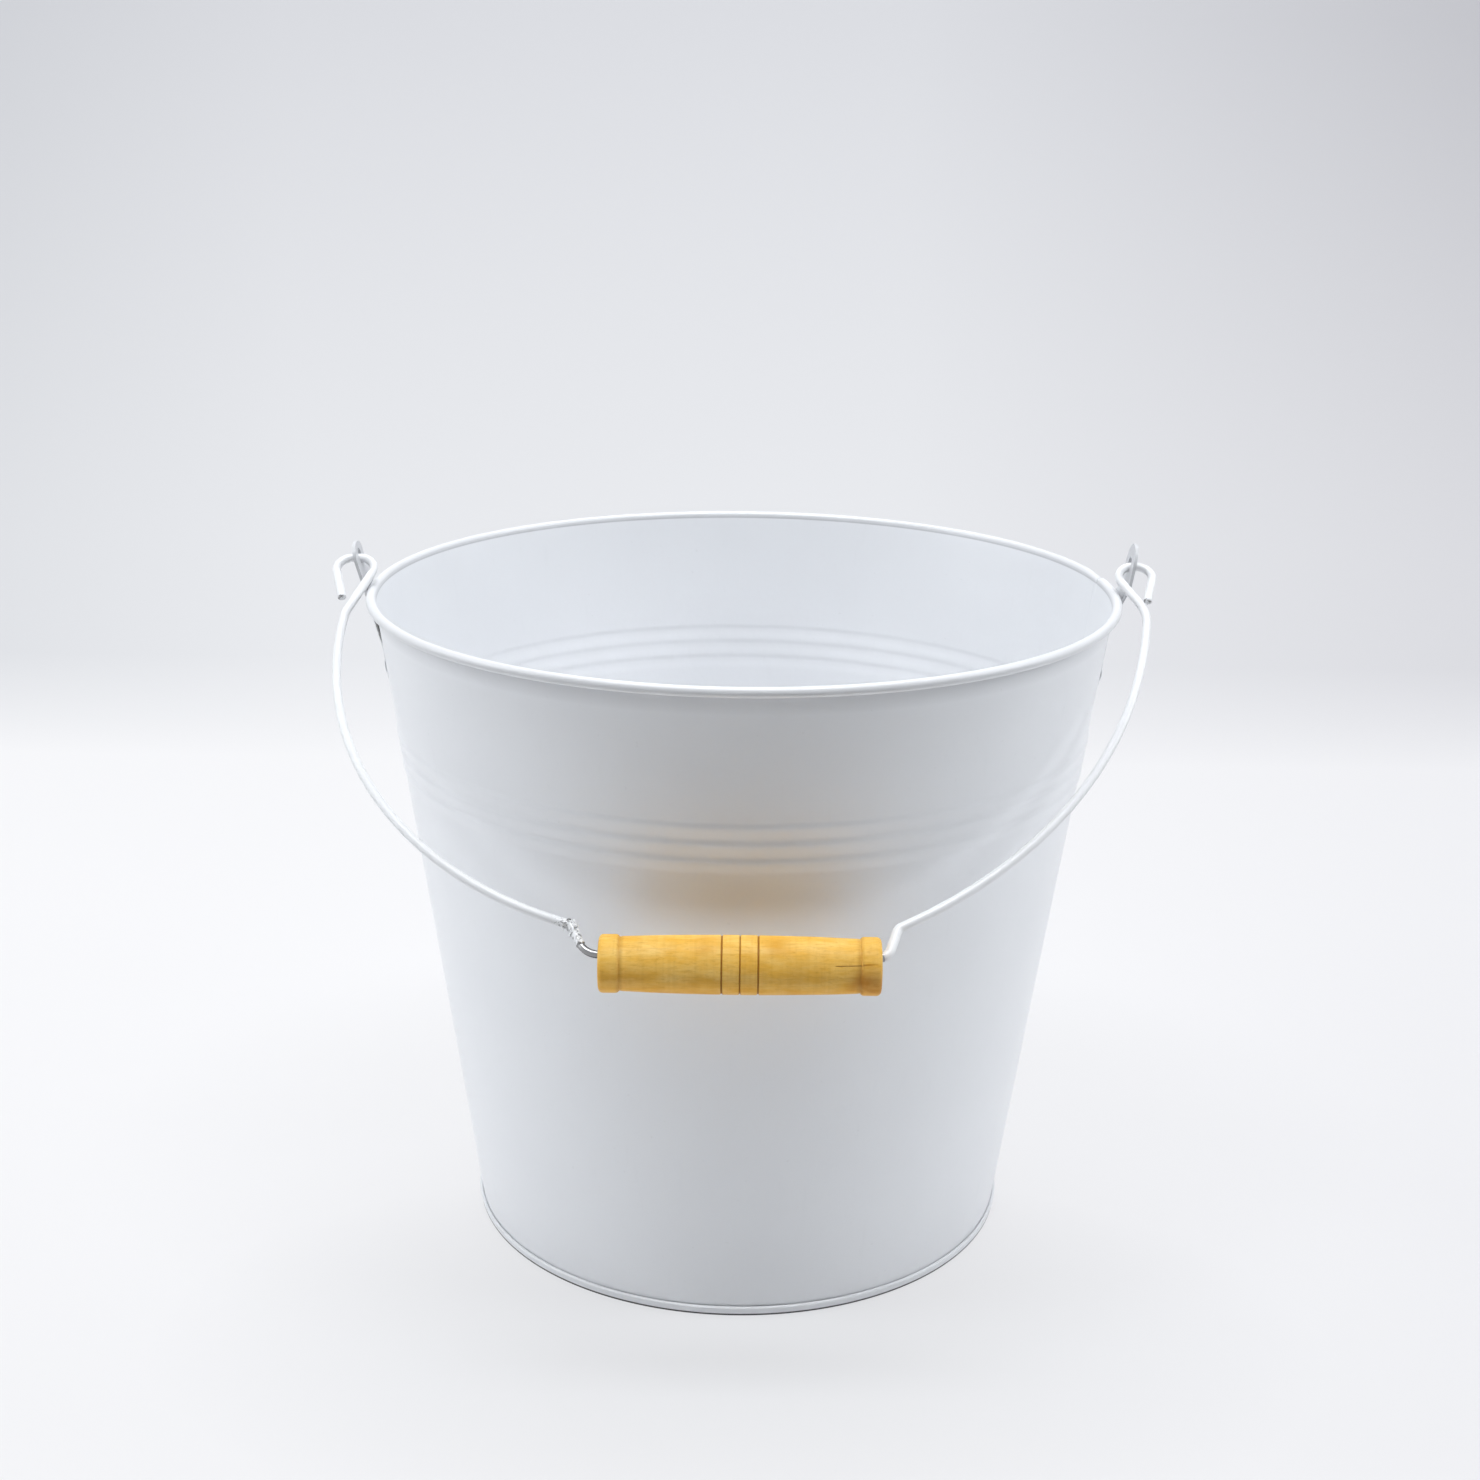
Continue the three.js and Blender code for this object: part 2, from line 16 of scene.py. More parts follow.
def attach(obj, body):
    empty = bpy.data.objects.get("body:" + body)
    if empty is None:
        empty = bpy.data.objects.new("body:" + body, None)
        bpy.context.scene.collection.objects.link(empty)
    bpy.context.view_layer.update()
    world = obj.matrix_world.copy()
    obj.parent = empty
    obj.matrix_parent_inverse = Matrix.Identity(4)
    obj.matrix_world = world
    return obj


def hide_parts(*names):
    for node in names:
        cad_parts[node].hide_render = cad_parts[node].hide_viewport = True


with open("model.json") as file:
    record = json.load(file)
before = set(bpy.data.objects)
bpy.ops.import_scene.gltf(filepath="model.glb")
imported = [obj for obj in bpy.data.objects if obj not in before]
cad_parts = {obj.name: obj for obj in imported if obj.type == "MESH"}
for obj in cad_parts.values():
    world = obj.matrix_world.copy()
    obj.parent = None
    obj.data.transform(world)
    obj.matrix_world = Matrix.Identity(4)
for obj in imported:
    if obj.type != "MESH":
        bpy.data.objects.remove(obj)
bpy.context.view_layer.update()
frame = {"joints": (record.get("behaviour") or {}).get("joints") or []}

MM = 0.001
SHARP_ANGLE = 40.0  # edges with a larger angle stay sharp
ON_AXIS = 1e-6
UPWARD = Vector((0, 0, 1))

# Bucket
WALL_SHEET = 0.5
BASE_SHEET = 0.5
GAP = 0.3  # between pieces that lie on each other
HEIGHT = 260.0
RIM_RADIUS = 145.0
RIM_WIRE_DIAMETER = 2.2
FOOT_RADIUS = 109.0
SEAM_HEIGHT = 3.9  # of the folded foot
BASE_RECESS = 5.0
PANEL_BEND = 1.2  # inside of the bend from the base panel down to the foot
PANEL_MARGIN = 2.0  # of the panel, less worn than the rest of its inside
FOOT_ROUND = 0.75
SKIRT_ROUND = 0.4
FOOT_LINE = 0.8  # height of the painted contact shadow, a dark line where the foot meets the floor
FOOT_LINE_END = 1.1  # height where the painted shadow ends
FOOT_LINE_DEPTH = 1.0

# Rolled rim, whose two ends meet at the side seam
ROLL_TURN = 310.0  # degrees that it wraps round its wire
ROLL_SCALE = 0.985  # of the painted roll
ROLL_TUCK = 0.45  # how far the back end is tucked in
ROLL_PINCH = 0.16  # how much smaller that end is
TUCK_START = (0.2, 0.5)  # distances from the joint
TUCK_END = (4.0, 16.0)
ROLL_SLIT = 0.4  # how much smaller the roll is in the slit of the joint
SLIT_EDGE = (0.3, 0.9)
WALL_BELOW_ROLL = 1.0  # from the middle of the roll down to the last row of the wall

# Stiffening beads
BEAD_COUNT = 3
BEAD_PITCH = 6.7
BEAD_RISE = 0.5  # of the painted outside
INNER_BEAD_RISE = 0.2
BEAD_DROP = 54.1
BEAD_CREST = 0.66  # share of the pitch below the crest
BEAD_MARGIN = 1.0  # of close rows below the beads

# Unevenness of the sheet
SHEET_WAVE = 0.22
SHEET_WAVES_ROUND = 2.2
SHEET_WAVE_HEIGHT = 70.0
EVEN_FOOT = 30.0  # height over which the waves set in
EVEN_RIM = 25.0

# Lock seam at the side
SIDE_SEAM_WIDTH = 7.0
SIDE_SEAM_RISE = 0.8
SIDE_SEAM_AZIMUTH = 8.0
SIDE_SEAM_MARGIN = 1.0
SIDE_SEAM_EDGE = 0.9  # width of its sloping edges
SIDE_SEAM_END = 2.0  # length of its sloping ends
INNER_MARK = 0.12  # line that the seam leaves on the inside
INNER_MARK_EDGE = (0.2, 0.6)
INNER_MARK_OFFSET = 2.4

# Ears and rivets
EAR_PLATE = 1.2
EAR_WIDTH = 16.0
EAR_STANDOFF = 1.4
EAR_KNEE_RISE = 1.5
EAR_LEAN = 9.5
EAR_HOLE_DIAMETER = 6.0
EAR_HOLE_RISE = 10.0
LEFT_EAR_CROWN = 5.8
RIGHT_EAR_CROWN = 8.2
CROWN_INSET = 0.1  # keeps the rounded edge inside the height of the ear
EAR_STEP = 1.4
EAR_STEP_RISE = 2.4
EAR_TAB_DROP = 27.5
EAR_TAB_LENGTH = 10.5
EAR_TAB_CORNER = 2.0
EAR_BEND = 1.0  # half the height over which the plate bends
EAR_EDGE = 0.28
EAR_HUG_TOP = 248.0  # height up to which the plate follows the wall
LEFT_EAR_OPENING = 1.9  # how far the left plate has come off the wall there
RIGHT_EAR_OPENING = 0.0
# painted shade on the inner side of the left ear's leg, where the gap to the wall is in deep shade
LEG_SHADE_TOP = (3.0, 1.0)  # below the middle of the roll
LEG_SHADE_START = 4.0  # height over which it sets in above the tab
RIVET_DIAMETER = 4.0
RIVET_HEAD_DIAMETER = 6.8
RIVET_HEAD_RISE = 0.9
RIVET_SPACING = 8.4

# Grip
GRIP_LENGTH = 95.3
GRIP_DIAMETER = 20.3
GRIP_COLLAR_DIAMETER = 19.9
GRIP_NECK_DIAMETER = 18.6
GRIP_BORE = 11.3
GRIP_COLLAR = 5.7
GRIP_COLLAR_ROUND = 1.6
GRIP_SHOULDER = 150.0
GRIP_NECK = 2.3
GROOVE_COUNT = 3
GROOVE_SPACING = 6.15
GROOVE_WIDTH = 0.8
GROOVE_DEPTH = 0.5
GRIP_WAVE = 0.06  # unevenness of the turned wood
GRIP_WAVE_ALONG = 0.08
GRIP_WAVE_ROUND = 0.8
# painted shade in the corners beside the collars
NECK_SHADE = 0.3
NECK_SHADE_REACH = (0.2, 1.6)

# Cracks in the grip: start and end as along the axis and round it in degrees, then depth
GRIP_CRACKS = (
    ((31.2, 158.0), (43.4, 155.5), 0.45),
    ((41.0, 155.5), (46.2, 150.0), 0.35),
    ((41.4, 155.0), (45.6, 161.0), 0.3),
)
CRACK_HALF_WIDTH = 1.1  # degrees
CRACK_WANDER = 1.2  # degrees
CRACK_WANDER_ALONG = 0.5
CRACK_ENDS = 0.15  # share of its length over which a crack closes
CRACK_ZONE = (146.0, 166.0)
CRACK_START = 2.0  # from the bore
CRACK_DARKENING = 1.3  # darkening inside a crack, as a wear value for each millimetre of depth

# Bail
WIRE_DIAMETER = 3.6
BAIL_LENGTH = 188.0
EYE_BEND = 6.0
EYE_OUTER = 9.7
EYE_INNER = 9.0
EYE_TAIL_LEAN = 0.271  # across, for each millimetre of drop
JOGGLE_DROP = 11.8
WIDE_BEND_MARGIN = 3.2  # straight left over beside the wide bend
LEFT_ARM = {
    "side": -1, "tail": 21.5, "offset": 1.6, "drop": 29.0, "arm_bend": 10.0, "lean": -4.5, "turn": 70.5,
    "joggle_bend": 5.5, "run": 5.3, "entry_bend": 7.2, "lead": 4.8,
}
RIGHT_ARM = {
    "side": 1, "tail": 18.8, "offset": 4.0, "drop": 24.5, "arm_bend": 18.0, "lean": 8.5, "turn": 61.4,
    "joggle_bend": 3.2, "run": 3.8, "entry_bend": 4.5, "lead": 2.5,
}

# Paint on the bail
PAINT_WAVE = 0.05  # unevenness of the paint on the wire
PAINT_WAVE_ALONG = 0.09
PAINT_INSET = 0.1
BARE_DEPTH = 0.3  # how much thinner the wire is where it is bare
BARE_FADE = (0.7, 1.0)  # wear over which it gets thinner
CUT_INSETS = ((0.0, 0.5), (0.3, 0.2))  # along from a cut end, and off the radius
NEAR_GRIP = 150.0  # along the bail, from where the wear of the grip's ends starts
BARE_START = 8.2  # down the step beside the grip
FLAKING_START = -1.5
SCRATCHES = 0.3
SCRATCHES_REACH = (12.0, 30.0)  # out from the grip
BARE_SPOT = 0.8  # length at the right end of the grip
UNDERSIDE = Vector((0, -0.55, -0.84))  # of the bail as it hangs, where bare steel gets painted shade
UNDERSIDE_EDGE = (0.2, 0.6)
FLAKE_SEED = 7
FLAKE_COUNT = 26
FLAKE_SHEET = 0.12
FLAKE_SIZE = (0.6, 1.7)
FLAKE_NARROWING = 0.7
FLAKE_LIFT = (0.1, 1.3)
FLAKE_ROOT = 0.1  # how deep a flake starts
FLAKE_CORNERS = ((-1, -1), (1, -1), (1, 0.6), (-0.7, 1))

# Wear and painted shade, a value per point that the materials read
SHELTERED = 0.0
OUTSIDE = 0.1
TOUCHED = 0.12
RUBBED = 0.14
HANDLED_AND_SHADED = 0.24
FLAKING = 0.43
CUT_END = 0.46
CHIPPED = 0.6
BARE = 1.0
# painted shade: a near-black level for shade at the foot, in the gap behind the left ear's leg, and under
# bare wire and paint flakes
PAINTED_SHADE = 2.0

# Mesh steps
WALL_STEPS = 300  # round the bucket
SEAM_STEPS = 60  # across the side seam
SEAM_STEPS_ANGLE = 5.0  # degrees on either side of it
WALL_ROW = 6.0
BEAD_ROW = 0.42
ROLL_INSIDE_STEPS = 30
ROLL_OUTSIDE_STEPS = 44
RIM_WIRE_SIDES = 16
RIM_WIRE_STEPS = 240
PANEL_STEPS = 24
EAR_MESH = 0.8
EAR_ROUND_STEPS = 40
HOLE_SHARE = 0.99  # of the hole's radius, within which triangles are left out
RIVET_STEPS = 40
WIRE_SIDES = 28
GRIP_ROW = 0.3
GRIP_STEPS = 110
CRACK_STEPS = 60

# Paint
WHITE = (0.861, 0.871, 0.893, 1)
WORN_WHITE = (0.839, 0.849, 0.873, 1)
# darker paint for handled places, partly handling wear and partly painted shade that keeps the lit roll
# from clipping to white
HANDLED_AND_SHADED_WHITE = (0.74, 0.745, 0.76, 1)
# inside of the base, darkened as painted shade with some wear, so the lit panel doesn't clip to white
SHADED_WORN_BASE = (0.54, 0.54, 0.54, 1)
# the bail's paint, a darker copy of the white as painted shade, so the wire's lit top doesn't clip to white
SHADED_BAIL_WHITE = (0.8, 0.804, 0.815, 1)
SHADED_WORN_BAIL_WHITE = (0.78, 0.785, 0.797, 1)
SCUFF = (0.55, 0.56, 0.58, 1)
SPECK = (0.5, 0.5, 0.5, 1)
# painted shade on the wall just under the rim roll, for the roll's shadow
UNDER_RIM_SHADE = (0.42, 0.425, 0.44, 1)
RIM_SHADE_BELOW = 7.0  # below the underside of the roll
RIM_SHADE_ABOVE = 1.0
CHIPPED_STEEL = (0.3, 0.3, 0.3, 1)
# near black, for painted shade
PAINTED_SHADE_BLACK = (0.012, 0.012, 0.013, 1)
DULL_STEEL = (0.5, 0.5, 0.51, 1)
BRIGHT_STEEL = (0.62, 0.62, 0.63, 1)

# Wood
LIGHT_WOOD = (0.9, 0.59, 0.165, 1)
MIDDLE_WOOD = (0.84, 0.47, 0.075, 1)
DARK_WOOD = (0.5, 0.21, 0.02, 1)
BLOTCHED_WOOD = (0.62, 0.31, 0.035, 1)
ORANGE_STAIN = (0.64, 0.29, 0.02, 1)
BROWN_STAIN = (0.45, 0.15, 0.006, 1)
GROOVE_AND_SHADE_BROWN = (0.26, 0.09, 0.006, 1)
# Stains on the grip: centre, reach, strength and colour
STAINS = (
    ((-10.8, -4, 9), (7, 8, 5), 0.55, ORANGE_STAIN),
    ((12.0, -4, 9), (8, 8, 5), 0.5, ORANGE_STAIN),
    ((0.0, -8, -8), (75, 10, 8), 0.75, ORANGE_STAIN),
    ((-40.0, -9, -3), (12, 8, 8), 0.5, ORANGE_STAIN),
    ((45.0, -9, -4), (11, 9, 9), 1.0, BROWN_STAIN),
)

# Camera, from the photograph's perspective
IMAGE_SIZE = 1480
FOCAL_PIXELS = 2178.2
SENSOR = 36.0
CAMERA_PLACE = (0.0, -835.46, 458.97)
CAMERA_PAN = -0.00121
CAMERA_TILT = 0.3049
CAMERA_ROLL = 0.01129

# Stage, in metres
SWEEP_HALF_WIDTH = 14.0
SWEEP_FRONT = -14.0
SWEEP_BEND = 0.5  # behind the bucket, where the floor starts to rise
SWEEP_STEP = 0.02
SWEEP_STEPS = 120
SWEEP_COLUMNS = 12
FIRST_RISE = (17.0, 0.0, 0.3)  # degrees, and the length over which the sweep turns up by them
SECOND_RISE = (48.0, 0.2, 2.2)
BACKDROP_START = (0.57, 0.73)
BACKDROP_HEIGHTS = (0.08, 0.5)
SHADE_CENTRE = 0.9  # in front of the bucket, from where the shades of the sides fan out
RIGHT_BEARINGS = (0.07, 0.33)
LEFT_BEARINGS = (-0.2, -0.35)
RIGHT_SHADE_START = (-0.6, -0.2)
NEAR_FLOOR = (-0.18, 0.08)
FAR_FLOOR = (0.8, 5.0)

# Spots on the floor in millimetres: centre and reach
# The first spot holds a painted shadow just in front of the bucket.
FRONT_SHADOW_SPOT = ((0, -120, 0), (220, 130, 60))
NEAR_LIGHT_SPOT = ((0, -60, 0), (420, 330, 60))
FRONT_LIGHT_SPOT = ((0, -250, 0), (420, 110, 60))

# Tones of the stage
STAGE_TONE = (0.73, 0.734, 0.745, 1)
FLOOR_GLOW = (0.93, 0.93, 0.95, 1)
NEAR_GLOW = (0.895, 0.895, 0.915, 1)  # towards the front, painted falloff of the light
FRONT_SHADOW_GLOW = (0.78, 0.785, 0.805, 1)  # painted shadow of the bucket on the floor just in front of it
FAR_GLOW = (0.925, 0.944, 0.988, 1)  # far off, where the floor meets the surroundings
# the backdrop is painted darker higher up, as painted falloff of light
LOW_BACKDROP_GLOW = (0.79, 0.8, 0.83, 1)
HIGH_BACKDROP_GLOW = (0.68, 0.69, 0.73, 1)
FLOOR_EDGE_SHADE = (0.92, 0.92, 0.93, 1)  # times the glow, towards the right
LOW_RIGHT_SHADE = (0.84, 0.83, 0.845, 1)
HIGH_RIGHT_SHADE = (0.75, 0.74, 0.755, 1)
LEFT_SHADE = (0.9, 0.905, 0.91, 1)
SURROUNDINGS = (0.74, 0.755, 0.79, 1)
STAGE_LIFT = 0.8  # share of the glow in what the camera and mirrors see
NEAR_LIGHT = 0.17  # light that the floor round the bucket adds
FRONT_LIGHT = 0.1  # light that the floor a little in front of it adds
FLOOR_LIGHT_COLOUR = (0.97, 0.98, 1.0, 1)

# Soft lamps, in metres and watts: name, place, aim, size and power
BUCKET_MIDDLE = (0, 0, 0.15)
LAMP_COLOUR = (0.95, 0.975, 1.0)
LAMPS = (
    ("overhead_front", (0, -0.37, 2.0), (0, -0.37, 0), (1.6, 0.3), 35),
    ("overhead_back", (0, 1.1, 2.0), (0, 1.1, 0), (1.6, 0.3), 22),
    ("left_side", (-1.4, -0.1, 1.1), BUCKET_MIDDLE, (0.8, 0.5), 6.8),
    ("right_side", (1.4, -0.1, 1.1), BUCKET_MIDDLE, (0.8, 0.5), 8.4),
    ("left_low", (-1.4, 0.05, 0.35), BUCKET_MIDDLE, (1.2, 0.5), 4.2),
    ("right_low", (1.4, 0.3, 0.35), BUCKET_MIDDLE, (0.8, 0.5), 2.4),
)

# Sizes that follow
wire_radius = WIRE_DIAMETER / 2
roll_radius = RIM_WIRE_DIAMETER / 2 + GAP + WALL_SHEET
roll_height = HEIGHT - roll_radius
roll_bottom = HEIGHT - 2 * roll_radius
wall_top_radius = RIM_RADIUS - roll_radius + WALL_SHEET
wall_foot_radius = FOOT_RADIUS - BASE_SHEET - GAP - WALL_SHEET
wall_slope = (wall_top_radius - wall_foot_radius) / roll_height
wall_taper = math.atan(wall_slope)
bead_top = HEIGHT - BEAD_DROP + BEAD_PITCH / 2
bead_bottom = bead_top - BEAD_COUNT * BEAD_PITCH
side_seam_angle = math.radians(SIDE_SEAM_AZIMUTH)
side_seam_bottom = SEAM_HEIGHT + SIDE_SEAM_MARGIN
side_seam_top = roll_bottom - SIDE_SEAM_MARGIN
ear_hole_height = HEIGHT + EAR_HOLE_RISE
ear_hole_radius = EAR_HOLE_DIAMETER / 2
ear_knee = HEIGHT + EAR_KNEE_RISE
ear_tab_top = HEIGHT - EAR_TAB_DROP
ear_tab_bottom = ear_tab_top - EAR_TAB_LENGTH
ear_leg_bottom = ear_tab_top + EAR_STEP_RISE
rivet_height = (ear_tab_top + ear_tab_bottom) / 2
grip_radius = GRIP_DIAMETER / 2
grip_neck = GRIP_LENGTH / 2 - GRIP_COLLAR - GRIP_NECK
grip_play = GRIP_BORE / 2 - wire_radius - GAP
pivot_height = ear_hole_height - (ear_hole_radius - wire_radius - GAP)


# Small helpers

def smooth_step(low, high, value):
    share = min(max((value - low) / (high - low), 0.0), 1.0)
    return share * share * (3 - 2 * share)


def arc(centre_x, centre_y, radius, start, end, steps):
    """Points on an arc, angles in degrees."""
    points = []
    for i in range(steps + 1):
        angle = math.radians(start + (end - start) * i / steps)
        points.append((centre_x + radius * math.cos(angle), centre_y + radius * math.sin(angle)))
    return points


def line(start, end, steps):
    """Points from start up to, but not including, end."""
    return [tuple(a + (b - a) * i / steps for a, b in zip(start, end)) for i in range(steps)]


def add_object(name, data):
    item = bpy.data.objects.new(name, data)
    bpy.context.scene.collection.objects.link(item)
    return item


def make_object(name, points, faces, wear_and_shade=None, matrix=None):
    """Mesh object from points in millimetres. Wear, with painted shade, is a value per point that its
    material reads.
    """
    mesh = bpy.data.meshes.new(name)
    mesh.from_pydata([Vector(p) * MM for p in points], [], faces)
    if wear_and_shade is not None:
        mesh.attributes.new("wear_and_shade", "FLOAT", "POINT").data.foreach_set("value", wear_and_shade)
    mesh.validate()
    mesh.shade_smooth()
    mesh.set_sharp_from_angle(angle=math.radians(SHARP_ANGLE))
    item = add_object(name, mesh)
    if matrix is not None:
        item.matrix_world = matrix
    return item


def ring_faces(ring_count, ring_size, closed):
    """Quads between neighbouring rings of points, also from the last ring to the first if closed."""
    faces = []
    for i in range(ring_count if closed else ring_count - 1):
        here = i * ring_size
        there = (i + 1) % ring_count * ring_size
        for j in range(ring_size):
            k = (j + 1) % ring_size
            faces.append((here + j, there + j, there + k, here + k))
    return faces


def lathe(name, profile, segments, wear_and_shade, matrix=None):
    """Section turned about Z, with a wear for each of its points. Points on the axis are shared."""
    points = []
    values = []
    rings = []
    axis_points = {}
    for i in range(segments):
        angle = 2 * math.pi * i / segments
        ring = []
        for j, (r, z) in enumerate(profile):
            if r < ON_AXIS and j in axis_points:
                ring.append(axis_points[j])
                continue
            if r < ON_AXIS:
                axis_points[j] = len(points)
            ring.append(len(points))
            points.append((r * math.cos(angle), r * math.sin(angle), z))
            values.append(wear_and_shade[j])
        rings.append(ring)
    closed = profile[0][0] > ON_AXIS
    faces = []
    for here, there in zip(rings, rings[1:] + rings[:1]):
        for j in range(len(profile) if closed else len(profile) - 1):
            k = (j + 1) % len(profile)
            corners = list(dict.fromkeys((here[j], there[j], there[k], here[k])))
            if len(corners) > 2:
                faces.append(corners)
    return make_object(name, points, faces, values, matrix)


def finish_piece(item, body, slot, material, *nodes):
    item.data.materials.append(material)
    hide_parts(*nodes)
    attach(item, body)


# Wall

def wall_radius(z):
    return wall_foot_radius + wall_slope * z


def bead_rise(z, most):
    """How far the beads stand out, each steeper above its crest than below it."""
    if not bead_bottom < z < bead_top:
        return 0.0
    share = (z - bead_bottom) / BEAD_PITCH % 1
    if share < BEAD_CREST:
        turn = share / BEAD_CREST
    else:
        turn = 1 + (share - BEAD_CREST) / (1 - BEAD_CREST)
    return most / 2 * (1 - math.cos(math.pi * turn))


def wall_heights(low, high):
    """Heights from low to high, close together at the beads."""
    close_start = bead_bottom - BEAD_MARGIN
    heights = [low]
    while heights[-1] < high:
        near_beads = close_start <= heights[-1] <= bead_top
        heights.append(heights[-1] + (BEAD_ROW if near_beads else WALL_ROW))
        if heights[-2] < close_start < heights[-1]:
            heights[-1] = close_start
    heights[-1] = high
    return heights


def wall_angles():
    """Directions round the bucket, closer together at the side seam."""
    near = math.radians(SEAM_STEPS_ANGLE)
    angles = [side_seam_angle - near + 2 * near * i / SEAM_STEPS for i in range(SEAM_STEPS)]
    start = side_seam_angle + near
    rest = 2 * math.pi - 2 * near
    return angles + [start + rest * i / WALL_STEPS for i in range(WALL_STEPS)]


def sheet_wave(angle, z):
    """Slight unevenness that pressing and rolling leave in the sheet, none at the foot and the rim."""
    east = math.cos(angle) * SHEET_WAVES_ROUND
    north = math.sin(angle) * SHEET_WAVES_ROUND
    wave = SHEET_WAVE * noise.noise(Vector((east, north, z / SHEET_WAVE_HEIGHT)))
    return wave * smooth_step(0, EVEN_FOOT, z) * smooth_step(0, EVEN_RIM, HEIGHT - z)


def seam_shape(away):
    """Height of the lock seam's raised band, 0 to 1, at a distance along the wall from its middle."""
    half = SIDE_SEAM_WIDTH / 2
    return 1 - smooth_step(half - SIDE_SEAM_EDGE, half, abs(away))


def seam_ends(z):
    """1 along the lock seam and 0 past its ends."""
    bottom = smooth_step(side_seam_bottom, side_seam_bottom + SIDE_SEAM_END, z)
    top = smooth_step(-side_seam_top, SIDE_SEAM_END - side_seam_top, -z)
    return bottom * top


def inner_mark(away):
    """How far the seam's edge shows on the inside."""
    return INNER_MARK * (1 - smooth_step(*INNER_MARK_EDGE, abs(away - INNER_MARK_OFFSET)))


def tucked_in(away):
    """How far the back end of the rim roll is tucked in, 0 to 1, at a distance from the joint."""
    return smooth_step(*TUCK_START, away) * (1 - smooth_step(*TUCK_END, away))


def roll_joint(away):
    """Scale of the rim roll's section: its ends meet at the side seam, and the back one is pinched."""
    slit = ROLL_SLIT * (1 - smooth_step(*SLIT_EDGE, abs(away)))
    return ROLL_SCALE - ROLL_PINCH * tucked_in(away) - slit


def wall_section():
    """Section of the wall, each point with its kind: outer face up, roll, inner face down, hem."""
    hem_bottom = BASE_SHEET + GAP
    hem_top = SEAM_HEIGHT - BASE_SHEET - GAP
    heights = wall_heights(hem_top, roll_height - WALL_BELOW_ROLL)
    turn_end = 180 - ROLL_TURN
    hollow = roll_radius - WALL_SHEET
    parts = {
        "outer": [(wall_radius(z) + bead_rise(z, BEAD_RISE), z) for z in heights],
        "roll_inside": arc(RIM_RADIUS, roll_height, hollow, 180, turn_end, ROLL_INSIDE_STEPS),
        "roll": arc(RIM_RADIUS, roll_height, roll_radius, turn_end, 180, ROLL_OUTSIDE_STEPS),
        "inner": [
            (wall_radius(z) - WALL_SHEET + bead_rise(z, INNER_BEAD_RISE), z) for z in reversed(heights)
        ],
        "hem": [
            (wall_radius(hem_bottom) - WALL_SHEET, hem_bottom),
            (wall_radius(hem_bottom) + WALL_SHEET, hem_bottom),
            (wall_radius(hem_top) + WALL_SHEET, hem_top),
        ],
    }
    return [(kind, r, z) for kind, points in parts.items() for r, z in points]


def wall_point(kind, r, z, angle):
    """Radius, height and wear of one point of the wall's section, in one direction."""
    away = (angle - side_seam_angle) * RIM_RADIUS
    if kind == "outer":
        r += sheet_wave(angle, z)
        r += SIDE_SEAM_RISE * seam_shape(away) * seam_ends(z)
        return r, z, OUTSIDE
    if kind == "inner":
        r += sheet_wave(angle, z)
        r += inner_mark(away)
        return r, z, SHELTERED
    if kind == "roll":
        joint = roll_joint(away)
        r = RIM_RADIUS + (r - RIM_RADIUS) * joint - ROLL_TUCK * tucked_in(away)
        z = roll_height + (z - roll_height) * joint
        # the roll is darker, partly from handling and partly as painted shade
        return r, z, HANDLED_AND_SHADED
    if kind == "roll_inside":
        return r, z, OUTSIDE
    return r, z, SHELTERED


def make_wall():
    section = wall_section()
    points = []
    wear_and_shade = []
    for angle in wall_angles():
        for kind, r, z in section:
            r, z, wear_shade_level = wall_point(kind, r, z, angle)
            points.append((r * math.cos(angle), r * math.sin(angle), z))
            wear_and_shade.append(wear_shade_level)
    faces = ring_faces(len(points) // len(section), len(section), True)
    return make_object("body_wall_skin", points, faces, wear_and_shade)


def make_rim_wire():
    section = arc(RIM_RADIUS, roll_height, RIM_WIRE_DIAMETER / 2, 0, 360, RIM_WIRE_SIDES)[:-1]
    return lathe("rim_wire_ring", section, RIM_WIRE_STEPS, [SHELTERED] * len(section))


# Base

def skirt_radius(z):
    """Outside of the base's skirt, inside the wall."""
    return wall_radius(z) - WALL_SHEET - GAP


def fold_radius(z):
    """Inside of the base's fold, outside the hem of the wall."""
    return wall_radius(z) + WALL_SHEET + GAP


